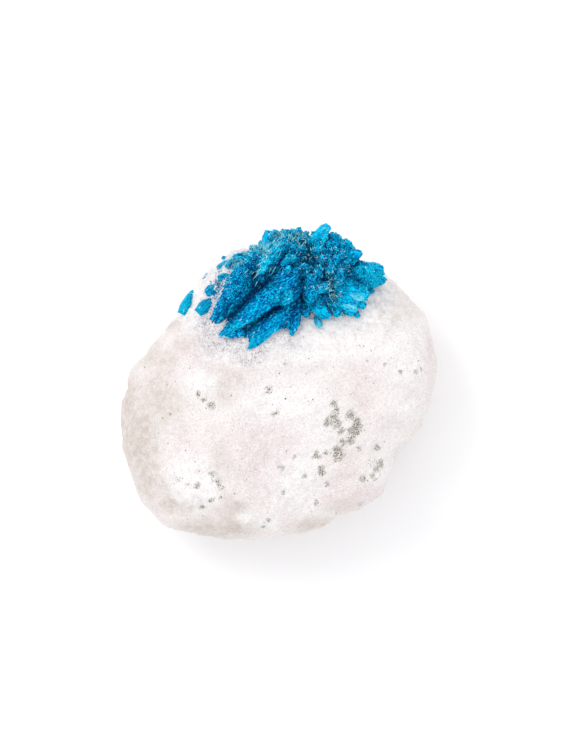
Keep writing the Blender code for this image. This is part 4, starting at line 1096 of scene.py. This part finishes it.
def build_specks(material):
    """Grains in the skin: squat eight-sided diamonds, thick in the patches and stray elsewhere."""
    random = np.random.default_rng(SEED + 1)
    patches = [(x, y, reach, reach, grains) for x, y, reach, grains in SPECK_PATCHES]
    strays = np.stack([random.uniform(*span, STRAY_SPECKS) for span in STRAY_FIELD])
    x, y = np.concatenate([strays, scattered_in(patches, random)], axis=1)
    inside = plan_share(x, y)[0] < SPECK_RIM
    points, normals = skin_at(x[inside], y[inside])
    count = len(points)
    stray = np.flatnonzero(inside) < STRAY_SPECKS
    least, spread = STRAY_SHARES
    share = np.where(stray, least + spread * random.uniform(0, 1, count) ** 4, 1.0)
    size = random.uniform(*SPECK_SIZE, count) * share
    side = unit(np.cross(normals, random.normal(size=(count, 3))))
    across = np.cross(normals, side)
    reaches = (size * random.uniform(*SPECK_REACH, (4, count)))[:, :, None]
    rows = [points + corner * reach for corner, reach in zip((side, across, -side, -across), reaches)]
    rows.append(points + normals * (size * SPECK_RISE)[:, None])
    rows.append(points - normals * (size * SPECK_SINK)[:, None])
    faces = [(0, 1, 4), (1, 2, 4), (2, 3, 4), (3, 0, 4), (1, 0, 5), (2, 1, 5), (3, 2, 5), (0, 3, 5)]
    values = {"tone": np.repeat(random.uniform(0, 1, count) ** 1.2, len(rows))}
    new_heap("skin_grains", into_box(np.stack(rows, axis=1)), faces, material, values)


def fan_rows():
    """The rear fan's lobes, level row by row: root, tip, width, thickness, roll, tone and bluntness."""
    centre = np.array(FAN_CENTRE)
    lobes = []
    for row, (lift, reach, count) in enumerate(FAN_ROWS):
        for k in range(count):
            sways = [amount * math.sin(pace * k + row) for amount, pace in FAN_SWAYS]
            roll = FAN_ROLL[0] * math.sin(FAN_ROLL[1] * k)
            bearing = np.interp(k + FAN_SHIFT * (row % 2), (0, count - 1), FAN_BEARINGS)
            out = heading(bearing, lift + sways[0])
            root, tip = (tuple(centre + out * far) for far in (FAN_ROOT, reach + sways[1]))
            lobes.append((root, tip, FAN_WIDTH, FAN_THICKNESS, roll, FAN_TONE + sways[2], FAN_BLUNTNESS))
    return lobes


def columns(rows):
    """A lobe table as arrays, then each lobe's length and the directions of its length, side and face."""
    table = (np.array(column, float) for column in zip(*rows))
    roots, tips, widths, thicknesses, rolls, tones, blunts = table
    lengths = np.linalg.norm(tips - roots, axis=1)
    return roots, widths, thicknesses, tones, blunts, lengths, *frames_of(roots, tips, rolls)


def frames_of(roots, tips, rolls):
    """Length, side and face directions of crystals, rolled about their lengths."""
    along = unit(tips - roots)
    upright = np.abs(along[:, 2]) >= 0.9
    reference = np.where(upright[:, None], (0.0, 1.0, 0.0), (0.0, 0.0, 1.0))
    side = unit(np.cross(reference, along))
    face = np.cross(along, side)
    turn = np.radians(rolls)[:, None]
    return along, side * np.cos(turn) + face * np.sin(turn), face * np.cos(turn) - side * np.sin(turn)


def girth(share, blunt):
    """A lobe's girth along it: a blade swells to its middle and ends in a chisel, a blunt one ends round."""
    chisel = np.interp(share, BLADE_SHARES, BLADE_SCALES)
    rounded = KNOB_FOOT + (1 - KNOB_FOOT) * ramp(share, 0, KNOB_FULL)
    rounded = rounded * np.sqrt(1 - ramp(share, BLUNT_FROM, 1) ** 2)
    return chisel + (rounded - chisel) * blunt


def inner_halves(widths, thicknesses):
    """Half the widths and thicknesses of lobes, drawn in to leave room for the crystals on them."""
    return np.maximum(np.stack([widths, thicknesses]) / 2 - LOBE_INSET, np.array(LEAST_HALVES)[:, None])


def hexagon(turns):
    """Places round a flat hexagon, as shares of half width and half thickness, for turns from 0 to 1."""
    ring = np.array([(1, 0), (0.5, 1), (-0.5, 1), (-1, 0), (-0.5, -1), (0.5, -1), (1, 0)], dtype=float)
    place = np.mod(turns, 1.0) * 6
    return np.interp(place, range(7), ring[:, 0]), np.interp(place, range(7), ring[:, 1])


def drawn_out(points, axis, share):
    """Places for a pattern drawn out along an axis: the place along it counts for less by the share."""
    return points - axis * ((points * axis).sum(axis=-1, keepdims=True) * share)


def near_paths(points, paths):
    """How strongly paths in plan mark each point: the strongest of them, each fading over its reach."""
    plan = points[:, :2]
    return np.max([depth * bell(distance_to_path(plan, path), reach) for path, reach, depth in paths], axis=0)


def grown_tone(tones, share, calm):
    """A lobe's tone from its dark foot to its pale end, painted shade on knobs: a knob's changes more than a
    calm blade's.
    """
    foot, gain = (np.interp(calm, (0, 1), pair) for pair in (FOOT_TONE, GAINED_TONE))
    return tones * (foot + gain * share)


def spray_values(points, drawn, tones, calm, crack_shade=0.0, shade=0.0, frost=0.0, teal=0.0, sugar=1.0):
    """What the crystals' colour follows: tone with painted highlights on rims, sugar, painted shade in gaps
    and grooves between lobes, fibres, painted sheen on pale faces, and pattern places.
    """
    upper = ramp(points[:, 2], *SPRAY_FOOT)
    cleft_shadow, ridge_highlights = (near_paths(points, paths) * upper for paths in (CLEFTS, RIDGES))
    fibrous = spots(points, FIBRE_ZONES, FIBRE_EDGE) * upper
    return {
        "tone": np.clip(tones + shade + RIDGE_TONE * ridge_highlights - CLEFT_TONE * cleft_shadow, 0, FULL_TONE),
        "sugary": np.full(len(points), sugar * (1 - SUGAR_LOSS * calm)),
        "crack_shade": np.zeros(len(points)) + crack_shade,
        "cleft_shadow": np.clip(CLEFT_DARK * cleft_shadow - CLEFT_CROSSED * ridge_highlights, 0, 1),
        "fibrous": fibrous,
        "teal": np.maximum(FIBRE_TEAL * fibrous, teal),
        "frost": np.maximum(spots(points, PALE_FACES, FACE_EDGE) * upper, frost),
        "drawn": drawn * MM,
    }


def tube_faces(rings, turns):
    """Faces of a closed tube whose ring points come ring by ring, then its first and last pole."""
    ring = np.arange(turns)
    after = (ring + 1) % turns
    step = np.arange(rings - 1)[:, None] * turns
    quads = np.stack([step + ring, step + after, step + turns + after, step + turns + ring], axis=-1)
    last = (rings - 1) * turns
    first_cap = np.stack([after, ring, np.full(turns, rings * turns)], axis=1)
    last_cap = np.stack([last + ring, last + after, np.full(turns, rings * turns + 1)], axis=1)
    return quads.reshape(-1, 4), np.concatenate([first_cap, last_cap])


def tube(rings, turns):
    """A closed tube: shares of its length, turns round it, a girth that is nought at its poles, and faces."""
    shares = 1 - (1 - np.linspace(0, 1, rings)) ** RING_CROWDING
    share = np.r_[np.repeat(shares, turns), 0, 1]
    round_it = np.r_[np.tile(np.arange(turns) / turns, rings), 0, 0]
    closing = np.r_[np.ones(rings * turns), 0, 0]
    return share, round_it, closing, tube_faces(rings, turns)


def pod(cells_across):
    """A closed pod, given as a tube is: a sphere's grid, whose heights are the shares of the length."""
    directions, quads = cube_sphere(cells_across)
    x, y, z = directions.T
    return (1 + z) / 2, np.mod(np.arctan2(y, x) / (2 * math.pi), 1), ramp(np.hypot(x, y), 0, POD_END), [quads]


def build_lobes(name, rows, form, draw, calm, material, lobes):
    """Lobes' bodies: a hexagon carried along each length, swollen by its girth and by the skin of crystals.

    The skin's crystals and the patterns are drawn out along the lobe. A calm lobe's crystals stand less high:
    by a share of the calm at the root and by all of it at the tip.
    """
    share, turn, closing, face_sets = form
    roots, widths, thicknesses, tones, blunts, lengths, along, side, face = columns(rows)
    a, b = hexagon(turn)
    scale = (girth(share[None], blunts[:, None]) * closing)[:, :, None]
    wide, thick = inner_halves(widths, thicknesses)[:, :, None]
    ring = side[:, None] * (wide * a)[:, :, None] + face[:, None] * (thick * b)[:, :, None]
    reach = (lengths - LOBE_INSET)[:, None] * share
    spine = roots[:, None] + along[:, None] * reach[:, :, None]
    endwise = along[:, None] * (1 - scale) * np.sign(share - 0.5)[None, :, None]
    out = unit(unit(ring) * scale + endwise).reshape(-1, 3)
    points = (spine + ring * scale).reshape(-1, 3)
    axis = np.repeat(along, len(share), axis=0)
    height, crack_shade, shade = crystal_skin(drawn_out(points, axis, draw))
    shade = shade * (1 - CALM_SHADE * calm) + calm * waves(drawn_out(points, axis, STREAK_DRAW), STREAKS)
    stand = ramp(share, 0, SKIN_START) * (1 - calm * (CALM_ROOT + (1 - CALM_ROOT) * share**2))
    height = height * np.tile(stand, len(rows))
    points = points + out * height[:, None]
    own = np.repeat(np.arange(len(rows)) + lobes.index(rows[0]), len(share))
    # Painted shade: darker where other lobes close a point in, lighter in the open, and darker in the gaps
    # between the skin's crystals and on sunk faces.
    dark = shelter(points, out, own, lobes)
    shade = CELL_TONE * shade + HEIGHT_TONE * height + SHELTER_TONE * (SHELTER_MEAN - dark)
    crack_shade = np.maximum(CRACK_DARK * crack_shade * (1 - CALM_CRACKS * calm), SHELTER_DARK * dark)
    teal = TIP_TEAL * calm * np.tile(ramp(share, *TIP_SHARES), len(rows))
    grown = grown_tone(tones[:, None], share, calm).ravel()
    drawn = drawn_out(points, axis, PATTERN_DRAW * calm)
    values = spray_values(points, drawn, grown, calm, crack_shade, shade, teal=teal)
    face_sets = [repeated(len(rows), faces, len(share)) for faces in face_sets]
    new_piece(name, into_box(points), face_sets, material, values, ["cavansite_cluster"])


def build_hearts(material):
    """The heart between the lobes: two eggs whose surface is pushed out and in by the skin of crystals."""
    directions, quads = cube_sphere(HEART_CELLS)
    for label, (middle, radii, turn) in zip(("right", "left"), HEARTS):
        local = directions * np.array(radii) * HEART_SHARE
        height, crack_shade, shade = crystal_skin(local + middle)
        points = turned(local + directions * height[:, None], turn) + middle
        # Painted shade: sunk faces and the gaps between the crystals are darker.
        shade = HEART_CELL_TONE * shade + HEIGHT_TONE * height
        values = spray_values(points, points, HEART_TONE, 0.0, CRACK_DARK * crack_shade, shade)
        new_piece(f"spray_heart_{label}", into_box(points), [quads], material, values)


def lobe_depths(points, rows):
    """For each lobe: how far out each point lies, as a share of the lobe's girth there."""
    roots, widths, thicknesses, _, blunts, lengths, along, side, face = columns(rows)
    for k in range(len(roots)):
        near = points - roots[k]
        share = near @ along[k] / lengths[k]
        within = (share > 0) & (share < 1)
        scale = np.where(within, np.maximum(girth(share, blunts[k]), LEAST_GIRTH), LEAST_GIRTH)
        a = np.abs(near @ side[k]) / (widths[k] / 2 * scale)
        b = np.abs(near @ face[k]) / (thicknesses[k] / 2 * scale)
        yield np.maximum(b, a + 0.5 * b)


def shelter(points, out, own, rows):
    """How closed in each point is, from 0 to 1, for painted shade: the sky that balls along the other lobes
    take from it.
    """
    roots, widths, thicknesses, _, blunts, lengths, along, *_ = columns(rows)
    closed = np.zeros(len(points))
    for k in range(len(roots)):
        for place in SHELTER_BALLS:
            size = (widths[k] + thicknesses[k]) / 4 * girth(np.array([place]), blunts[k])
            away = roots[k] + along[k] * (lengths[k] * place) - points
            gap = np.linalg.norm(away, axis=1) + 1e-9
            facing = np.maximum((away * out).sum(axis=1) / gap, 0)
            closed += np.where(own == k, 0, facing * np.minimum(size / gap, 1) ** 2)
    return ramp(closed, *SHELTER_RANGE)


def buried(points, own, rows):
    """Whether each point lies inside the heart, inside a lobe other than its own, or inside the nodule."""
    hidden = np.zeros(len(points), dtype=bool)
    for middle, radii, turn in HEARTS:
        near = turned(points - middle, -turn) / radii
        hidden |= (near**2).sum(axis=1) < HEART_LIMIT
    for k, depth in enumerate(lobe_depths(points, rows)):
        hidden |= (depth < LOBE_LIMIT) & (own != k)
    share, _ = plan_share(points[:, 0], points[:, 1])
    rise = (points[:, 2] - EQUATOR_HEIGHT) / TOP_RISE
    return hidden | (share**TOP_POWER + np.abs(rise) ** TOP_POWER < STONE_LIMIT)


def lobe_places(count, random, rows):
    """Seeded open places on lobes: point, axis, outward direction, tone, share of the length, lobe."""
    roots, widths, thicknesses, tones, blunts, lengths, along, side, face = columns(rows)
    area = lengths * (widths + thicknesses)
    lobe = random.choice(len(roots), count, p=area / area.sum())
    share = random.uniform(*PLACE_SHARES, count)
    a, b = hexagon(random.uniform(0, 1, count))
    scale = girth(share, blunts[lobe])
    wide, thick = inner_halves(widths[lobe], thicknesses[lobe])
    along, side, face = along[lobe], side[lobe], face[lobe]
    ring = side * (wide * a)[:, None] + face * (thick * b)[:, None]
    points = roots[lobe] + along * ((lengths[lobe] - LOBE_INSET) * share)[:, None] + ring * scale[:, None]
    out = unit(side * (a / wide)[:, None] + face * (b / thick)[:, None])
    out = unit(out * scale[:, None] + along * ((1 - scale) * (share > 0.5))[:, None])
    clear = ~buried(points + out * OPEN_STEP, lobe, rows)
    return [values[clear] for values in (points, along, out, tones[lobe], share, lobe)]


def mixed_headings(directions, shares, random):
    """Unit headings made up of the given directions and, last, of seeded scatter, each by its share."""
    scatter = random.normal(size=directions[0].shape)
    return unit(sum(rows * share for rows, share in zip((*directions, scatter), shares)))


def prisms(feet, headings, lengths, widths, ends, random):
    """Four-sided crystals: a rhomb at the foot and a smaller, tilted one at the end."""
    side = unit(np.cross(headings, random.normal(size=feet.shape)))
    across = np.cross(headings, side) * PRISM_FLATNESS
    half = (widths / 2)[:, None]
    slant = random.uniform(*PRISM_SLANT, len(feet))
    corners = (side, across, -side, -across)
    rows = [feet + corner * half for corner in corners]
    for corner, fall in zip(corners, (0.0, 0.5, 1.0, 0.5)):
        reach = lengths * (1 - slant * fall)
        rows.append(feet + headings * reach[:, None] + corner * half * ends[:, None])
    quads = [(3, 2, 1, 0), (0, 1, 5, 4), (1, 2, 6, 5), (2, 3, 7, 6), (3, 0, 4, 7), (4, 5, 6, 7)]
    return np.stack(rows, axis=1), quads


def spikes(feet, headings, lengths, widths, random):
    """Three-sided needles: a small triangle at the foot and one point."""
    side = unit(np.cross(headings, random.normal(size=feet.shape)))
    across = np.cross(headings, side)
    half = (widths / 2)[:, None]
    rows = [feet + side * half]
    rows += [feet - side * half * 0.5 + across * half * way for way in (0.87, -0.87)]
    rows.append(feet + headings * lengths[:, None])
    return np.stack(rows, axis=1), [(2, 1, 0), (0, 1, 3), (1, 2, 3), (2, 0, 3)]


def build_crystals(name, form, seed, rows, frost, calm, material):
    """Crystals grown on lobes in the open, headed by the lobe's axis, the outward direction and scatter."""
    count, width, length, end, shares = form
    random = np.random.default_rng(seed)
    places = lobe_places(count * PLACE_TRIES, random, rows)
    points, along, out, tones, share, own = (values[:count] for values in places)
    dark = shelter(points, out, own, rows)
    headings = mixed_headings((along, out), shares, random)
    lengths, widths, ends = (random.uniform(*pair, len(points)) for pair in (length, width, end))
    sunk = np.where(share > CRYSTAL_TIP, *CRYSTAL_SINKS)
    feet = points - headings * lengths[:, None] * sunk[:, None]
    shapes, quads = prisms(feet, headings, lengths, widths, ends, random)
    drawn = drawn_out(shapes, along[:, None], PATTERN_DRAW * calm)
    fits = fitting(shapes)
    shapes, drawn, tones, share, dark = (values[fits] for values in (shapes, drawn, tones, share, dark))
    tones = grown_tone(tones, share, calm) + random.normal(0, TONE_SPREAD, len(shapes))
    # Painted shade: crystals in closed-in places are darker, those in the open lighter.
    tones += SHELTER_TONE * (SHELTER_MEAN - dark)
    tones, crack_shade = (np.repeat(amounts, shapes.shape[1]) for amounts in (tones, SHELTER_DARK * dark))
    values = spray_values(shapes.reshape(-1, 3), drawn.reshape(-1, 3), tones, calm, crack_shade, frost=frost)
    new_heap(name, shapes, quads, material, values)


def crystal_form(root, tip, width, thickness, roll):
    """A flat hexagon carried from the root to a blunt chisel end, with striped sides.

    Gives its points, faces, stripes' height and places for the patterns.
    """
    root, tip = np.array(root, dtype=float), np.array(tip, dtype=float)
    along, side, face = (rows[0] for rows in frames_of(root[None], tip[None], np.array([roll])))
    length = np.linalg.norm(tip - root)
    shares, scales = np.array(FORM_SHARES), np.array(FORM_SCALES)
    a, b = hexagon(np.arange(FORM_TURNS) / FORM_TURNS)
    chisel = ramp(shares, 1.0, CHISEL_FROM)
    wide = np.where(shares > CHISEL_FROM, CHISEL_END + (CHISEL_START - CHISEL_END) * chisel, scales)
    ring = side * (a * width / 2)[None, :, None] * wide[:, None, None]
    ring = ring + face * (b * thickness / 2)[None, :, None] * (scales * chisel)[:, None, None]
    flat = (root + along * (length * shares)[:, None, None] + ring).reshape(-1, 3)
    stripes = waves(drawn_out(flat, along, STRIPE_DRAW), STRIPES) + waves(flat, FORM_WAVES)
    flat = flat + unit(ring).reshape(-1, 3) * (stripes - STRIPE_SINK)[:, None]
    points = np.concatenate([flat, root[None], tip[None]])
    drawn = drawn_out(points, along, FORM_DRAW)
    return points, tube_faces(len(shares), FORM_TURNS), np.r_[stripes, 0, 0], drawn


def build_forms(name, rows, look, material, nodes=()):
    """Flat-faced crystals in one mesh, from rows like those of BLOCKS."""
    calm, stripe_tone, teal, sugar = look
    forms = [crystal_form(*row[:5]) for row in rows]
    size = len(forms[0][0])
    points, stripes, drawn = (np.concatenate([form[k] for form in forms]) for k in (0, 2, 3))
    tones, pale_sheens = (np.repeat([row[k] for row in rows], size) for k in (5, 6))
    values = spray_values(points, drawn, tones, calm, 0.0, stripe_tone * stripes, pale_sheens, teal, sugar)
    face_sets = [repeated(len(forms), faces, size) for faces in forms[0][1]]
    new_piece(name, into_box(points), face_sets, material, values, nodes)


def build_singles(material):
    """The single crystals in the crust, each in place of its node."""
    for node, *form in SINGLES:
        name = node.replace("crystal_", "") + "_crystal"
        build_forms(name, [(*form, 0.0)], SINGLE_LOOK, material, [node])


def build_chips(material):
    """Small blue chips caught in the crust: short prisms at seeded places in the chip zones."""
    random = np.random.default_rng(SEED + 6)
    points, normals = skin_at(*scattered_in(CHIP_ZONES, random))
    length, width, end, shares = CHIPS
    headings = mixed_headings((normals,), shares, random)
    lengths, widths, ends = (random.uniform(*pair, len(points)) for pair in (length, width, end))
    feet = points - headings * lengths[:, None] * CHIP_SINK
    shapes, quads = prisms(feet, headings, lengths, widths, ends, random)
    shapes = shapes[fitting(shapes)]
    flat = shapes.reshape(-1, 3)
    tones = np.repeat(random.uniform(*CHIP_TONES, len(shapes)), shapes.shape[1])
    values = spray_values(flat, flat, tones, 0.0, teal=SINGLE_TEAL)
    new_heap("crust_chips", shapes, quads, material, values)


def new_needles(name, feet, headings, lengths, widths, among_blue, random, material):
    """The needles of those given that fit, with one value for whether they lie among the blue crystals."""
    shapes, faces = spikes(feet, headings, lengths, widths, random)
    shapes = shapes[fitting(shapes)]
    values = {"among_blue": np.full(shapes[..., 0].size, among_blue)}
    new_heap(name, shapes, faces, material, values)


def build_needles(material):
    """The crust's mat of needles: seeded places in the apron, leaning every way off the skin."""
    random = np.random.default_rng(SEED + 2)
    bearing = random.uniform(0, 2 * math.pi, NEEDLES)
    oval = np.sqrt(random.uniform(*NEEDLE_OVALS, NEEDLES))
    x = CRUST_CENTRE[0] + CRUST_RADII[0] * oval * np.cos(bearing)
    y = CRUST_CENTRE[1] + CRUST_RADII[1] * oval * np.sin(bearing)
    inside = plan_share(x, y)[0] < NEEDLE_RIM
    points, normals = skin_at(x[inside], y[inside])
    headings = mixed_headings((normals,), NEEDLE_HEADING, random)
    near = np.maximum(spray_nearness(points, NEEDLE_NEAR), spots(points, MOUND))
    lengths = random.uniform(*NEEDLE_LENGTH, len(points)) * (NEEDLE_FAR_SHARE + (1 - NEEDLE_FAR_SHARE) * near)
    widths = random.uniform(*NEEDLE_WIDTH, len(points))
    feet = points - normals * NEEDLE_FOOT
    new_needles("crust_needles", feet, headings, lengths, widths, 0.0, random, material)


def build_fibres(name, form, random, rows, material):
    """White fibres caught between the lobes: seeded open places inside their zones."""
    most, zones, length, width, shares = form
    points, along, out, *_ = lobe_places(FIBRE_TRIES, random, rows)
    chance = FIBRE_CHANCE * spots(points, zones, FIBRE_EDGE) * (out[:, 2] > FIBRE_LIFT)
    chosen = random.uniform(0, 1, len(points)) < chance
    points, along, out = (values[chosen][:most] for values in (points, along, out))
    headings = mixed_headings((along, out), shares, random)
    lengths, widths = (random.uniform(*pair, len(points)) for pair in (length, width))
    new_needles(name, points + out * NEEDLE_FOOT, headings, lengths, widths, 1.0, random, material)


def build_floor():
    """A wide white floor under the specimen."""
    corners = [(x * FLOOR_HALF, y * FLOOR_HALF, 0) for x, y in ((-1, -1), (1, -1), (1, 1), (-1, 1))]
    mesh = bpy.data.meshes.new("floor")
    mesh.from_pydata(corners, [], [(0, 1, 2, 3)])
    mesh.materials.append(white_paper())
    placed("floor", mesh)


def build_light():
    """Soft daylight all round, and a large soft lamp from the upper left that looks at the specimen."""
    world = bpy.data.worlds.new("daylight")
    bpy.context.scene.world = world
    world.use_nodes = True
    sky = world.node_tree.nodes["Background"]
    sky.inputs["Color"].default_value = linear("FCFCFD")
    sky.inputs["Strength"].default_value = SKY_STRENGTH
    lamp = bpy.data.lights.new("softbox", "AREA")
    lamp.shape = "DISK"
    lamp.size = LAMP_SIZE
    lamp.energy = LAMP_POWER
    holder = placed("softbox", lamp)
    holder.location = LAMP_PLACE
    x, y, z = LAMP_PLACE
    holder.rotation_euler = (math.atan2(math.hypot(x, y), z), 0.0, math.atan2(-y, -x) - math.pi / 2)


def build_camera():
    """A long lens straight above the specimen, framed so that the photograph's height is FRAME_HEIGHT."""
    lens = bpy.data.cameras.new("camera")
    lens.lens = lens.sensor_width * (CAMERA_DISTANCE - FOCUS_HEIGHT) / FRAME_HEIGHT
    lens.clip_start, lens.clip_end = 0.01, 10.0
    camera = placed("camera", lens)
    camera.location = (FRAME_CENTRE[0] * MM, FRAME_CENTRE[1] * MM, CAMERA_DISTANCE * MM)
    bpy.context.scene.camera = camera
    bpy.context.scene.view_settings.view_transform = "Standard"


def build_spray(material, lobes, fan):
    """The spray: its hearts, its lobes by groups, the crystals that grow on them, and its flat-faced ones."""
    build_hearts(material)
    # Piece, lobes, form, how far the skin's crystals are drawn out, calm.
    lobe_sets = (
        ("spray_blades", BLADES, tube(*BLADE_GRID), 0.55, BLADE_CALM),
        ("spray_crown", CROWN, pod(18), 0.2, 0.0),
        ("spray_lumps", LUMPS, pod(14), 0.0, 0.0),
        ("spray_fan", fan, pod(16), 0.2, 0.0),
    )
    for lobe_set in lobe_sets:
        build_lobes(*lobe_set, material, lobes)
    # Piece, kind, seed, lobes, painted sheen, calm.
    crystal_sets = (
        ("spray_rods", RODS, SEED + 4, BLADES, 0.0, BLADE_CALM),
        ("spray_grains", GRAINS, SEED + 5, (*CROWN, *LUMPS, *fan), 0.0, 0.0),
        ("blade_grains", BLADE_GRAINS, SEED + 8, BLADES, 0.0, BLADE_CALM),
        ("spray_flecks", FLECKS, SEED + 7, lobes, FLECK_SHEEN, 0.0),
    )
    for crystal_set in crystal_sets:
        build_crystals(*crystal_set, material)
    build_forms("spray_blocks", BLOCKS, BLOCK_LOOK, material)


def main():
    """The camera and the light, then the nodule, the spray, the single crystals, and the crust's needles."""
    build_camera()
    build_floor()
    build_light()
    zeolite, needle, cavansite = chalky_zeolite(), white_needle(), blue_crystal()
    fan = fan_rows()
    lobes = (*BLADES, *CROWN, *LUMPS, *fan)
    build_stone(zeolite)
    build_specks(clay_grain())
    build_spray(cavansite, lobes, fan)
    build_singles(cavansite)
    build_chips(cavansite)
    build_needles(needle)
    random = np.random.default_rng(SEED + 3)
    build_fibres("spray_fibres", FIBRES, random, lobes, needle)
    build_fibres("spray_threads", THREADS, random, lobes, needle)


main()
